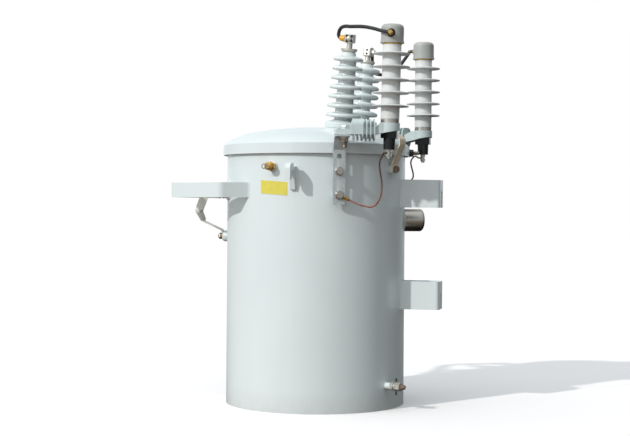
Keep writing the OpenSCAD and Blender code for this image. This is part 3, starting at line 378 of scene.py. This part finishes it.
def circle(r, z, n, turn=0.0):
    """Points round the Z axis."""
    angles = [2 * pi * k / n + turn for k in range(n)]
    return [Vector((r * cos(angle), r * sin(angle), z)) for angle in angles]


def turned(profile, n, turn=0.0):
    """Rings of a turned shape from (radius, height) pairs."""
    return [circle(r, z, n, turn) for r, z in profile]


def swept(bm, points, radii, n, joined=False):
    """A round bar along the points, with a radius at each."""
    last = len(points) - 1
    side = None
    rings = []
    for k, p in enumerate(points):
        before = points[k - 1] if k > 0 or joined else p
        after = points[(k + 1) % len(points)] if k < last or joined else p
        along = (after - before).normalized()
        side = along.orthogonal() if side is None else side - along * side.dot(along)
        side.normalize()
        other = along.cross(side)
        rings.append([p + radii[k] * (side * c.x + other * c.y) for c in circle(1, 0, n)])
    rings_mesh(bm, rings, joined)


def add_washer(bm, low, r, t):
    """A washer with rounded edges; returns the level above it."""
    edge = t * WASHER_EDGE
    top = low + t
    profile = [(r - edge, low), (r, low + edge), (r, top - edge), (r - edge, top)]
    rings_mesh(bm, turned(profile, WASHER_SIDES))
    return top


def add_washers(bm, level, washers):
    """A stack of washers given as (radius, thickness); returns the level above it."""
    for washer in washers:
        level = add_washer(bm, level, *washer)
    return level


def add_hex(bm, low, width, h, turn):
    """A hexagon with chamfered corners, given its width over the flats."""
    corner = width / 2 / cos(radians(30))
    edge = h * HEX_EDGE
    top = low + h
    profile = [(corner * HEX_FOOT, low), (corner, low + edge), (corner, top - edge),
               (corner * HEX_HEAD, top)]
    rings_mesh(bm, turned(profile, 6, radians(turn)))
    return top


def add_thread(bm, low, r, length):
    """A stub of thread as fine ridges."""
    profile = []
    for k in range(max(2, int(length / THREAD_PITCH))):
        profile.append((r, low + k * THREAD_PITCH))
        profile.append((r * THREAD_ROOT, low + (k + 0.5) * THREAD_PITCH))
    profile.append((r * THREAD_END, low + length))
    rings_mesh(bm, turned(profile, THREAD_SIDES))


def ride(obj):
    """Puts the object into the scene, on the part's body."""
    bpy.context.scene.collection.objects.link(obj)
    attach(obj, "root")


def piece(name, bm, place, slot, sharp=SHARP_ANGLE):
    """Turns the mesh into a named object that rides on the part."""
    bmesh.ops.recalc_face_normals(bm, faces=bm.faces)
    mesh = bpy.data.meshes.new(name)
    bm.to_mesh(mesh)
    bm.free()
    mesh.transform(place)
    if place.determinant() < 0:
        mesh.flip_normals()
    mesh.shade_smooth()
    mesh.set_sharp_from_angle(angle=radians(sharp))
    mesh.materials.append(MATERIALS[slot])
    ride(bpy.data.objects.new(name, mesh))


def lathe(name, profile, place, slot, sides=32, joined=False, low=0.0):
    """A turned piece from (radius, height) pairs that count from low; a ring where joined."""
    bm = bmesh.new()
    rings_mesh(bm, turned([(r, low + z) for r, z in profile], sides), joined)
    piece(name, bm, place, slot)


def bolt(name, place, slot, size, seat=0.0):
    """A stack from HARDWARE: washers, a hexagon and perhaps a stub of thread, from the seat up."""
    bm = bmesh.new()
    level = add_washers(bm, seat, size["washers"])
    level = add_hex(bm, level, *size["hexagon"], size.get("turn", HEX_TURN))
    if "thread" in size:
        add_thread(bm, level, *size["thread"])
    piece(name, bm, place, slot)


def bead(name, points, r, joined=False):
    """A painted weld bead with the ripples of its passes."""
    bm = bmesh.new()
    radii = [r * sum((a * sin(f * k) for a, f in RIPPLES), 1.0) for k in range(len(points))]
    swept(bm, points, radii, BEAD_SIDES, joined)
    piece(name, bm, Matrix(), "tank_paint", BEAD_SHARP_ANGLE)


# Frames of the part

def facing(origin, axis, across=UP):
    """A place whose +Z is axis and whose +X lies towards across."""
    z = Vector(axis).normalized()
    y = z.cross(Vector(across)).normalized()
    x = y.cross(z)
    m = Matrix((x, y, z)).transposed().to_4x4()
    m.translation = origin
    return m


def polar(r, bearing, z=0.0):
    """A point at a distance and bearing from the Z axis."""
    return Vector((r * cos(radians(bearing)), r * sin(radians(bearing)), z))


def on_tank(angle, z, r):
    """A place at a bearing, height and radius: +Z outwards, +X up."""
    return facing(polar(r, angle, z), polar(1, angle))


def shift(x=0.0, y=0.0, z=0.0):
    """A move along the axes of the frame to its left."""
    return Matrix.Translation((x, y, z))


def mirrored(side):
    """The far side as the mirror image of the near side."""
    return Matrix.Scale(SIDES[side], 4, (1, 0, 0))


def leaning(origin, lean, bearing):
    """An upright frame at the origin, tipped by lean towards the bearing."""
    turn = Matrix.Rotation(radians(bearing), 4, "Z")
    tip = Matrix.Rotation(radians(lean), 4, "Y")
    return Matrix.Translation(origin) @ turn @ tip @ turn.inverted()


def hv_frame(side):
    """The bushing's frame: its origin lies on its axis where the foot's ring sits."""
    seat = polar(HV_PITCH_R, HV_ANGLE[side], HV_SEAT_Z)
    return mirrored(side) @ leaning(seat, HV_LEAN, HV_LEAN_BEARING)


def bolt_place(side):
    """Where the bracket's bolt meets the strip's flange, before mirroring."""
    base = polar(STRIP_FACE_R + BOLT_OUT, STRIP_ANGLE) + polar(BOLT_ASIDE, STRIP_ANGLE + 90)
    base.z = FLANGE_TOP + LIFT[side]
    return base


def arr_frame(side):
    """The arrester's frame: its origin lies on its axis, on top of the bracket's boss."""
    origin = bolt_place(side) + polar(ARM_REACH[side], ARM_BEARING)
    origin.z = BOSS_TOP + LIFT[side]
    return mirrored(side) @ leaning(origin, ARR_LEAN[side], ARR_LEAN_BEARING)


def turned_to(bearing, z):
    """A place inside a frame, on its axis at height z, whose +Z points along the bearing."""
    return facing(Vector((0, 0, z)), polar(1, bearing))


def dome_z(r):
    """Height of the cover at a distance from the tank's axis."""
    crown_z = COVER_TOP - CROWN_R
    if r < CROWN_EDGE_R:
        return crown_z + sqrt(CROWN_R ** 2 - r ** 2)
    tilt = asin(CROWN_EDGE_R / CROWN_R)
    mid_x = CROWN_EDGE_R - SHOULDER_R * sin(tilt)
    mid_z = crown_z + (CROWN_R - SHOULDER_R) * cos(tilt)
    return mid_z + sqrt(SHOULDER_R ** 2 - (r - mid_x) ** 2)


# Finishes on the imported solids
SMOOTH_NODES = ("hv_jumper", "ground_lead", "bond_strap", "neutral_strap")
slot_of = {s["node"]: s["material_slot"] for s in frame["record"]["subparts"]}
for node_name, node in NODES.items():
    node.data.materials.clear()
    node.data.materials.append(MATERIALS[slot_of[node_name]])
    if node_name.startswith(SMOOTH_NODES):
        node.data.shade_smooth()
        node.data.set_sharp_from_angle(angle=radians(SHARP_ANGLE))

# Bolts and nuts: washers as (radius, thickness), hexagon as (width over the flats, height),
# thread as (radius, length), and the hexagon's turn in degrees where it is its own
HARDWARE = {
    "strip": {"washers": ((0.0120, 0.0026), (0.0108, 0.0030)), "hexagon": (0.0172, 0.0080)},
    "bracket": {"washers": ((0.0125, 0.0026),), "hexagon": (0.019, 0.0085), "turn": 20},
    "bracket_stud": {"washers": ((0.0140, 0.0026), (0.0105, 0.0032)), "hexagon": (0.019, 0.0105),
                     "thread": (0.006, 0.024), "turn": 8},
    "terminal": {"washers": ((0.009, 0.002),), "hexagon": (0.0135, 0.006), "thread": (0.0042, 0.004)},
    "bond_lower": {"washers": ((0.0100, 0.0018),), "hexagon": (0.0168, 0.0075)},
    "bond_upper": {"washers": ((0.0095, 0.0018),), "hexagon": (0.0145, 0.0065)},
    "cover": {"washers": ((0.0115, 0.0024),), "hexagon": (0.0180, 0.0100)},
    "lv": {"washers": ((0.0150, 0.0022), (0.0130, 0.0020)), "hexagon": (0.0215, 0.0070)},
    "neutral_head": {"washers": ((0.0105, 0.0020),), "hexagon": (0.0165, 0.0070)},
    "neutral_nut": {"washers": ((0.0105, 0.0020),), "hexagon": (0.0165, 0.0080),
                    "thread": (0.0050, 0.006)},
    "ground": {"washers": ((0.0105, 0.0020), (0.0092, 0.0022)), "hexagon": (0.0165, 0.0080),
               "thread": (0.0050, 0.003)},
}

# Arm of each bracket: the core that the fins stand out from, as (distance along, inset) sections
CORE_ALONG = ((0.0470, 0.0015), (0.0485, 0.0), (0.0780, 0.0), (0.0792, 0.0015))
CORE_UP = (-0.010, 0.034)
CORE_W = 0.020
CORE_ROUND = 0.007
CORE_POINTS = 24


def core_ring(along, inset):
    """A section of the core: a rectangle with round corners."""
    reach_up = (CORE_UP[1] - CORE_UP[0]) / 2 - CORE_ROUND - inset
    reach_side = CORE_W / 2 - CORE_ROUND - inset
    ring = []
    for k in range(CORE_POINTS):
        turn = 2 * pi * (k + 0.5) / CORE_POINTS
        up = sum(CORE_UP) / 2 + copysign(reach_up, cos(turn)) + CORE_ROUND * cos(turn)
        aside = copysign(reach_side, sin(turn)) + CORE_ROUND * sin(turn)
        ring.append(Vector((up, aside, along)))
    return ring


for side in SIDES:
    bm = bmesh.new()
    rings_mesh(bm, [core_ring(along, inset) for along, inset in CORE_ALONG])
    arm = mirrored(side) @ facing(bolt_place(side), polar(1, ARM_BEARING))
    piece("bracket_core_" + side, bm, arm, "bracket_grey")

# Bracket strips: two bolts each, with large washers
for side in SIDES:
    for row, z in STRIP_BOLT_Z.items():
        seat = STRIP_FACE_R + STRIP_T + (RING_T if row == "lower" else 0)
        place = mirrored(side) @ on_tank(STRIP_ANGLE, z, seat)
        bolt(f"strip_bolt_{row}_{side}", place, "stainless", HARDWARE["strip"])

# Arrester brackets: one bolt down through tongue and flange, with its nut and stud end below
for side in SIDES:
    place = mirrored(side) @ Matrix.Translation(bolt_place(side))
    bolt("bracket_bolt_" + side, place, "zinc", HARDWARE["bracket"], TONGUE_T)
    below = place @ Matrix.Scale(-1, 4, UP)
    size = HARDWARE["bracket_stud"]
    bm = bmesh.new()
    level = add_washers(bm, STRIP_T, size["washers"])
    add_thread(bm, level, *size["thread"])
    piece("bracket_stud_" + side, bm, below, "stainless")
    bm = bmesh.new()
    add_hex(bm, level, *size["hexagon"], size["turn"])
    piece("bracket_nut_" + side, bm, below, "bronze")

# High voltage terminals: the near clamp's claws and disc, the far clamp's saddle and screw
# sockets, and on both a nut and the ferrule of the lead
CLAW_R = 0.0135
CLAW_T = 0.0016
CLAW_POINTS = 64
CLAW_LOBES = 4
CLAW_MEAN = 0.72
CLAW_NOTCH = 0.28
DISC_PROFILE = ((0.0062, 0), (0.0068, 0.0008), (0.0066, 0.0032), (0.0050, 0.0046), (0.0024, 0.0052))
SADDLE_STEPS = 16
SADDLE_RISE = 0.0055
SADDLE_FULLNESS = 0.8
SADDLE_INSET = 0.003
SOCKET_UP = {"upper": 0.0048, "lower": -0.0062}
SOCKET_PROFILE = ((0.0034, 0), (0.0034, 0.0006), (0.0026, 0.0006), (0.0022, 0.0001))
SOCKET_SIDES = 24
FERRULE_PROFILE = ((LEAD_R + FIT, 0), (0.0086, 0.0002), (0.0094, 0.0015), (0.0092, 0.0045),
                   (0.0068, 0.0135), (0.0060, 0.0155), (LEAD_R + FIT, 0.0157))
FERRULE_SIDES = 28


def claws(name, face):
    """A dark plate with four lobes on the diagonals of the clamp's face, under a round disc."""
    low = BLOCK_W / 2
    outline = []
    for k, p in enumerate(circle(1, 0, CLAW_POINTS)):
        wave = cos(2 * pi * CLAW_LOBES * k / CLAW_POINTS)
        outline.append(p * CLAW_R * (CLAW_MEAN - CLAW_NOTCH * wave))
    bm = bmesh.new()
    rings_mesh(bm, [[p + UP * z for p in outline] for z in (low, low + CLAW_T)])
    piece("terminal_claws_" + name, bm, face, "dark_steel")
    lathe("terminal_disc_" + name, DISC_PROFILE, face, "tinned", low=low + CLAW_T)


def saddle(name, place):
    """The clamp's rounded upper jaw, over nearly the block's whole length."""
    arc = []
    for k in range(SADDLE_STEPS + 1):
        turn = pi * k / SADDLE_STEPS
        rise = SADDLE_RISE * sin(turn) ** SADDLE_FULLNESS
        arc.append(Vector((BLOCK_W / 2 * cos(turn), BLOCK_H / 2 + rise, 0)))
    half = BLOCK_L / 2 - SADDLE_INSET
    bm = bmesh.new()
    rings_mesh(bm, [[p + UP * z for p in arc] for z in (-half, half)])
    piece("terminal_saddle_" + name, bm, place, "tinned")


for side in SIDES:
    axis = hv_frame(side)
    across = BLOCK_BEARING[side] + 90
    nut_side = across + 180 if side == "near" else across
    bolt("terminal_nut_" + side, axis @ turned_to(nut_side, BLOCK_Z), "tinned", HARDWARE["terminal"],
         BLOCK_W / 2)
    mouth = axis @ turned_to(BLOCK_BEARING[side], BLOCK_Z) @ shift(z=BLOCK_L / 2)
    lathe("ferrule_" + side, FERRULE_PROFILE, mouth, "ferrule", FERRULE_SIDES, True)
claws("near", hv_frame("near") @ turned_to(BLOCK_BEARING["near"] + 90, BLOCK_Z))
back = hv_frame("far") @ turned_to(BLOCK_BEARING["far"] + 180, BLOCK_Z)
saddle("far", back @ Matrix.Rotation(-pi / 2, 4, "Z"))
for row, x in SOCKET_UP.items():
    lathe("terminal_socket_" + row, SOCKET_PROFILE, back @ shift(x), "dark_steel", SOCKET_SIDES,
          low=BLOCK_L / 2)

# Ground leads: a pressed barrel of brass on each lower lug, its profile as (relief, distance along)
CRIMP_RING_R = 0.0095
CRIMP_R = 0.004
CRIMP_DIP = 27.0
CRIMP_SIDES = 28
CRIMP_PROFILE = ((0.0001, 0.0025), (0.0006, 0.0032), (0.0006, 0.0086), (0.0002, 0.0096),
                 (0.0002, 0.0110), (0.0006, 0.0120), (0.0006, 0.0174), (0.0001, 0.0184))
for side in SIDES:
    root = polar(STRIP_FACE_R + STRIP_T + FIT + CRIMP_R, STRIP_ANGLE, STRIP_BOLT_Z["lower"])
    way = polar(cos(radians(CRIMP_DIP)), STRIP_ANGLE + 90, -sin(radians(CRIMP_DIP)))
    lathe("crimp_barrel_" + side, [(CRIMP_R + relief, along) for relief, along in CRIMP_PROFILE],
          mirrored(side) @ facing(root + way * CRIMP_RING_R, way), "brass", CRIMP_SIDES)

# Arrester caps: a brass ring under the rim, a dark grommet in the port and the lead's brass fitting
CAP_RING_R = ARR_R + 0.0018
CAP_RING_SIDES = 64
CAP_RING_PROFILE = ((ARR_R + FIT, -0.0036), (CAP_RING_R, -0.0034), (CAP_RING_R, -0.0004),
                    (ARR_R + FIT, -0.0002))
PORT_BORE = 0.0108
LINER_R = PORT_BORE - 0.001
LINER_LOW = CAP_R - 0.009
WEB_LOW = 0.0085
WEB_TOP = 0.0105
GROMMET_PROFILES = (
    ((PORT_BORE, CAP_R - 0.0015), (PORT_BORE, LINER_LOW), (LINER_R, LINER_LOW),
     (LINER_R, CAP_R - 0.002)),
    ((LEAD_R + FIT, WEB_LOW), (PORT_BORE - FIT, WEB_LOW), (PORT_BORE - FIT, WEB_TOP),
     (LEAD_R + FIT, WEB_TOP)),
)
GROMMET_SIDES = 36
FITTING_ROOT = ((0.0064, 0.0106), (0.0064, 0.0240), (0.0070, 0.0252))
FITTING_NOSE = ((0.0070, -0.0050), (0.0062, -0.0014), (0.0042, 0))
FITTING_TIP = {"near": 0.0530, "far": 0.0335}
FITTING_DROP = 0.0014
for side in SIDES:
    axis = arr_frame(side)
    lathe("cap_ring_" + side, CAP_RING_PROFILE, axis @ shift(z=CAP_LOW), "brass", CAP_RING_SIDES,
          True)
    port = axis @ turned_to(PORT_BEARING[side], CAP_LOW + PORT_H)
    bm = bmesh.new()
    for profile in GROMMET_PROFILES:
        rings_mesh(bm, turned(profile, GROMMET_SIDES), True)
    piece("port_grommet_" + side, bm, port, "black_plastic")
    nose = [(r, FITTING_TIP[side] + z) for r, z in FITTING_NOSE]
    lathe("port_fitting_" + side, [*FITTING_ROOT, *nose], port @ shift(-FITTING_DROP), "brass")

# Yellow plate, bare, bent round the tank and a little askew
PLATE_ANGLES = (-22.2, -3.9)
PLATE_Z = 0.612
PLATE_H = 0.036
PLATE_SKEW = 0.07
PLATE_T = 0.0006
PLATE_STEPS = 24
PLATE_SECTION = ((FIT, -1), (FIT + PLATE_T, -1), (FIT + PLATE_T, 1), (FIT, 1))
plate_span = PLATE_ANGLES[1] - PLATE_ANGLES[0]
sections = []
for k in range(PLATE_STEPS + 1):
    along = k / PLATE_STEPS
    bearing = PLATE_ANGLES[0] + plate_span * along
    arc = TANK_R * radians(plate_span) * (along - 0.5)
    mid = PLATE_Z - PLATE_SKEW * arc
    sections.append([polar(TANK_R + r, bearing, mid + z * PLATE_H / 2) for r, z in PLATE_SECTION])
bm = bmesh.new()
rings_mesh(bm, sections)
piece("notice_plate", bm, Matrix(), "plate")

# Relief valve: collars as (start, radius, thickness), a nose and the pull ring through it
RELIEF_COLLARS = ((0.2696, 0.0118, 0.0022), (0.2752, 0.0108, 0.0026), (0.2800, 0.0108, 0.0026))
NOSE_PROFILE = ((0.0030, -0.0004), (0.0030, 0.0014), (0.0016, 0.0014), (0.0014, 0.0002))
NOSE_SIDES = 20
RING_R = 0.0062
RING_WIRE_R = 0.0009
RING_WIRE_SIDES = 8
RING_POINTS = 32
RING_TILT = 0.20
RING_PLACE = (-0.0005, 0.0090, RELIEF_TIP_R + 0.0010)
valve = on_tank(RELIEF_ANGLE, RELIEF_Z, 0)
bm = bmesh.new()
for collar in RELIEF_COLLARS:
    add_washer(bm, *collar)
piece("relief_collars", bm, valve, "brass")
lathe("relief_nose", NOSE_PROFILE, valve, "bronze", NOSE_SIDES, low=RELIEF_TIP_R)
loop = [Vector((RING_R * p.x, RING_R * p.y, RING_TILT * RING_R * p.y))
        for p in circle(1, 0, RING_POINTS)]
bm = bmesh.new()
swept(bm, loop, [RING_WIRE_R] * RING_POINTS, RING_WIRE_SIDES, True)
piece("relief_ring", bm, valve @ shift(*RING_PLACE), "dark_steel")

# Drain valve: two rings as (start, radius, thickness), a plug of bronze and the knobs on its pin
DRAIN_RINGS = ((0.2822, 0.0125, 0.0024), (0.2895, 0.0128, 0.0024))
PLUG_LOW = 0.3062
PLUG_HEXAGON = (0.0125, 0.0085)
PLUG_TURN = 5
PLUG_TIP = (0.0066, 0.0045)
KNOB_R = 0.0034
KNOB_STEPS = 8
KNOB_SIDES = 20
KNOB_NECK = ((0.0032, -0.0062), (0.0032, -0.0046), (0.0024, -0.0042), (0.0024, -0.0024))
KNOB_ANGLES = [pi * k / KNOB_STEPS for k in range(3, KNOB_STEPS)]
KNOB_PROFILE = [*KNOB_NECK, *((KNOB_R * sin(angle), -KNOB_R * cos(angle)) for angle in KNOB_ANGLES)]
drain = on_tank(DRAIN_ANGLE, DRAIN_Z, 0)
bm = bmesh.new()
for ring in DRAIN_RINGS:
    add_washer(bm, *ring)
piece("drain_rings", bm, drain, "tinned")
bm = bmesh.new()
level = add_hex(bm, PLUG_LOW, *PLUG_HEXAGON, PLUG_TURN)
add_washer(bm, level, *PLUG_TIP)
piece("drain_plug", bm, drain, "bronze")
for row, way in (("upper", 1), ("lower", -1)):
    end = drain @ shift(way * DRAIN_PIN_L / 2, 0, DRAIN_PIN_R) @ Matrix.Rotation(way * pi / 2, 4, "Y")
    lathe("drain_pin_knob_" + row, KNOB_PROFILE, end, "dark_steel", KNOB_SIDES)

# Bond strap: a bolt on its boss and one on the cover
BOND_FOOT_GAP = 0.0003
SLOPE_STEP = 0.002
bolt("bond_bolt_lower", on_tank(BOND_ANGLE, BOND_Z, BOND_FACE_R), "bronze", HARDWARE["bond_lower"])
fall = (dome_z(BOND_FOOT_R - SLOPE_STEP) - dome_z(BOND_FOOT_R + SLOPE_STEP)) / (2 * SLOPE_STEP)
foot_normal = polar(fall, BOND_ANGLE, 1)
foot = polar(BOND_FOOT_R, BOND_ANGLE, dome_z(BOND_FOOT_R))
foot += foot_normal.normalized() * (STRAP_T + BOND_FOOT_GAP)
bolt("bond_bolt_upper", facing(foot, foot_normal, polar(1, BOND_ANGLE)), "stainless",
     HARDWARE["bond_upper"])

# Cover bolt beside the pole, its stud as (start, radius, length)
COVER_BOLT_ANGLE = 104.0
COVER_BOLT_Z = 0.717
COVER_STUD = (0.0125, 0.0056, 0.0155)
cover_bolt = on_tank(COVER_BOLT_ANGLE, COVER_BOLT_Z, SKIRT_R)
bolt("cover_bolt", cover_bolt, "dark_steel", HARDWARE["cover"])
bm = bmesh.new()
add_thread(bm, *COVER_STUD)
piece("cover_stud", bm, cover_bolt, "stainless")

# Low voltage side: stud nuts, the neutral strap's bolt and the ground nut
STRAP_GAP = 0.0004
for side, bearing in LV_BEARING.items():
    bolt("lv_nut_" + side, on_tank(bearing, GUARD_Z, LV_END_R), "tinned", HARDWARE["lv"])
strap_face = SPADE_T / 2 + STRAP_T + STRAP_GAP
spade = Vector((0, -SPADE_R, GUARD_Z))
bolt("neutral_bolt_head", facing(spade, (1, 0, 0)), "stainless", HARDWARE["neutral_head"], strap_face)
bolt("neutral_bolt_nut", facing(spade, (-1, 0, 0)), "stainless", HARDWARE["neutral_nut"], SPADE_T / 2)
bolt("ground_nut", on_tank(LV_SIDE, GROUND_Z, GROUND_FACE_R), "bronze", HARDWARE["ground"])

# Weld beads where bosses, lugs, hangers and guard meet the tank
BEAD_R = 0.0024
BEAD_STEP = 0.0022
BOSS_BEAD_R = BEAD_R * 0.8
PAD_POINTS = 140
PAD_PASSES = 4
BOSSES = {
    "ground": (LV_SIDE, GROUND_Z, GROUND_BOSS_R),
    "relief": (RELIEF_ANGLE, RELIEF_Z, RELIEF_BOSS_R),
    "tap": (TAP_ANGLE, TAP_Z, TAP_BOSS_R),
    "drain": (DRAIN_ANGLE, DRAIN_Z, DRAIN_BOSS_R),
    "bond": (BOND_ANGLE, BOND_Z, BOND_BOSS_R),
}


def wall_at(aside):
    """How far out the tank wall lies at a distance to the side of its axis."""
    return sqrt(TANK_R ** 2 - aside ** 2)


def upright_bead(name, x, y, low, high):
    """A bead up the tank wall at a place in plan."""
    steps = int((high - low) / BEAD_STEP)
    points = [Vector((x, y, low + (high - low) * k / steps)) for k in range(steps + 1)]
    bead(name, points, BEAD_R)


def boss_bead(name, angle, z, r, side="near"):
    """A bead round a boss, on the tank's curved wall."""
    points = []
    for p in circle(1, 0, int(2 * pi * r / BEAD_STEP)):
        aside = r * p.x
        spot = polar(wall_at(aside), angle, z + r * p.y)
        points.append(mirrored(side) @ spot + mirrored(side) @ polar(aside, angle + 90))
    bead(name, points, BOSS_BEAD_R, True)


def wall_crossing(start, bearing):
    """Where a level line from start along the bearing first meets the tank."""
    way = polar(1, bearing)
    inward = -start.dot(way)
    return start + way * (inward - sqrt(inward ** 2 - start.length_squared + TANK_R ** 2))


for side, sign in SIDES.items():
    for edge, y in (("left", -LUG_T / 2), ("right", LUG_T / 2)):
        x = sign * wall_at(y)
        upright_bead(f"lug_weld_{side}_{edge}", x, y, LUG_LOW, LUG_LOW + LUG_ROOT_H)
    for edge, off in (("inner", -1), ("outer", 1)):
        corner = Vector((*GUARD_CORNER, 0)) + polar(off * GUARD_T / 2, GUARD_TURN - 90)
        spot = wall_crossing(corner, GUARD_TURN)
        upright_bead(f"guard_weld_{side}_{edge}", sign * spot.x, spot.y, GUARD_Z - GUARD_H / 2,
                     GUARD_Z + GUARD_H / 2)
    for row, z in STRIP_BOLT_Z.items():
        boss_bead(f"strip_boss_weld_{row}_{side}", STRIP_ANGLE, z, STRIP_BOSS_R, side)
for row, z in HANGER_Z.items():
    for edge, x in (("near", HANGER_W / 2), ("far", -HANGER_W / 2)):
        upright_bead(f"hanger_weld_{row}_{edge}", x, wall_at(x), z - HANGER_H / 2, z + HANGER_H / 2)
for side, bearing in LV_BEARING.items():
    boss_bead("lv_boss_weld_" + side, bearing, GUARD_Z, LV_BOSS_R)
for boss, (angle, z, r) in BOSSES.items():
    boss_bead(boss + "_boss_weld", angle, z, r)
for side in SIDES:
    points = []
    for p in circle(HV_PAD_R, 0, PAD_POINTS):
        spot = hv_frame(side) @ p
        for _ in range(PAD_PASSES):
            p.z += dome_z(spot.xy.length) - spot.z
            spot = hv_frame(side) @ p
        points.append(spot)
    bead("pad_weld_" + side, points, BEAD_R, True)

# Camera at the photograph's angle
CAMERA_DISTANCE = 3.990
CAMERA_BEARING = 14.0
CAMERA_HEIGHT = 0.560
AIM_HEIGHT = 0.5286
AIM_ASIDE = -0.0029
CAMERA_ROLL = 0.4
LENS = 79.16
SENSOR_W = 36.0

camera_data = bpy.data.cameras.new("camera")
camera_data.lens = LENS
camera_data.sensor_width = SENSOR_W
camera = bpy.data.objects.new("camera", camera_data)
bpy.context.scene.collection.objects.link(camera)
camera.location = polar(CAMERA_DISTANCE, CAMERA_BEARING, CAMERA_HEIGHT)
aim = polar(AIM_ASIDE, CAMERA_BEARING + 90, AIM_HEIGHT)
look = (aim - camera.location).to_track_quat("-Z", "Y").to_matrix().to_4x4()
roll = Matrix.Rotation(radians(CAMERA_ROLL), 4, "Z")
camera.matrix_world = Matrix.Translation(camera.location) @ look @ roll
bpy.context.scene.camera = camera

# Pale floor
FLOOR_SIZE = 40.0
FLOOR_CELLS = 4
FLOOR_STOPS = [(0.3, (0.98, 0.945, 0.93)), (0.7, (0.99, 0.96, 0.945))]
floor_material, floor_tree, floor_shader, floor_coords = node_tree("floor")
floor_tone = noise(floor_tree, floor_coords, 3.0, detail=5.0)
floor_base = ramp(floor_tree, floor_tone, FLOOR_STOPS)
floor_tree.links.new(floor_base, floor_shader.inputs["Base Color"])
floor_shader.inputs["Roughness"].default_value = 0.9
floor_shader.inputs["Specular IOR Level"].default_value = 0.1
bm = bmesh.new()
bmesh.ops.create_grid(bm, x_segments=FLOOR_CELLS, y_segments=FLOOR_CELLS, size=FLOOR_SIZE / 2)
floor_mesh = bpy.data.meshes.new("floor")
bm.to_mesh(floor_mesh)
bm.free()
floor_mesh.materials.append(floor_material)
floor = bpy.data.objects.new("floor", floor_mesh)
floor.visible_diffuse = False
floor.visible_glossy = False
bpy.context.scene.collection.objects.link(floor)

# Soft light all round, brighter from above and from the left, before a white backdrop.
# BACKDROP and HORIZON say how far along the view, and how high, the light of the backdrop sets in
AMBIENT = 0.48
AMBIENT_LEAN = (0.285, -0.258, 0.41)
AMBIENT_LEAST = 0.02
BACKDROP = (0.60, 0.90)
HORIZON = (-0.20, 0.02)
LOW_COLOUR = (0.60, 0.51, 0.44)
HIGH_COLOUR = (0.89, 0.955, 1.0)


def studio_world():
    """The surroundings: soft light for the part, plain white for the camera."""
    world = bpy.data.worlds.new("studio")
    world.use_nodes = True
    tree = world.node_tree
    coords = tree.nodes.new("ShaderNodeTexCoord")

    def share_along(direction):
        """How far each direction of the surroundings points along another one."""
        node = tree.nodes.new("ShaderNodeVectorMath")
        node.operation = "DOT_PRODUCT"
        tree.links.new(coords.outputs["Generated"], node.inputs[0])
        node.inputs[1].default_value = direction
        return node.outputs["Value"]

    def computed(operation, first, second):
        """A sum worked out by a math node; second is a socket or a number."""
        node = tree.nodes.new("ShaderNodeMath")
        node.operation = operation
        tree.links.new(first, node.inputs[0])
        if isinstance(second, float):
            node.inputs[1].default_value = second
        else:
            tree.links.new(second, node.inputs[1])
        return node.outputs["Value"]

    soft = computed("MAXIMUM", computed("ADD", share_along(AMBIENT_LEAN), AMBIENT), AMBIENT_LEAST)
    above = spread(tree, share_along(UP), 0.0, 1.0, *HORIZON)
    behind = spread(tree, share_along(-polar(1, CAMERA_BEARING)), 0.0, 1.0, *BACKDROP)
    backdrop = computed("MULTIPLY", behind, above)
    around = tree.nodes["Background"]
    tint = ramp(tree, above, [(0.0, LOW_COLOUR), (1.0, HIGH_COLOUR)])
    tree.links.new(tint, around.inputs["Color"])
    tree.links.new(computed("MAXIMUM", soft, backdrop), around.inputs["Strength"])
    white = tree.nodes.new("ShaderNodeBackground")
    white.inputs["Color"].default_value = (1, 1, 1, 1)
    rays = tree.nodes.new("ShaderNodeLightPath")
    both = tree.nodes.new("ShaderNodeMixShader")
    tree.links.new(rays.outputs["Is Camera Ray"], both.inputs["Fac"])
    tree.links.new(around.outputs["Background"], both.inputs[1])
    tree.links.new(white.outputs["Background"], both.inputs[2])
    tree.links.new(both.outputs["Shader"], tree.nodes["World Output"].inputs["Surface"])
    return world


def sun(name, bearing, height, strength, size, colour):
    """A distant soft light that stands at a bearing and a height in degrees."""
    light = bpy.data.lights.new(name, "SUN")
    light.energy = strength
    light.angle = radians(size)
    light.color = colour
    obj = bpy.data.objects.new(name, light)
    towards = polar(cos(radians(height)), bearing, sin(radians(height)))
    obj.rotation_euler = towards.to_track_quat("Z", "Y").to_euler()
    bpy.context.scene.collection.objects.link(obj)


bpy.context.scene.world = studio_world()
bpy.context.scene.view_settings.view_transform = "Standard"
sun("key", bearing=-34.3, height=29.3, strength=2.08, size=1.6, colour=(1.0, 0.99, 0.98))
sun("overhead", bearing=14.0, height=80.0, strength=0.15, size=40.0, colour=(1.0, 1.0, 1.0))
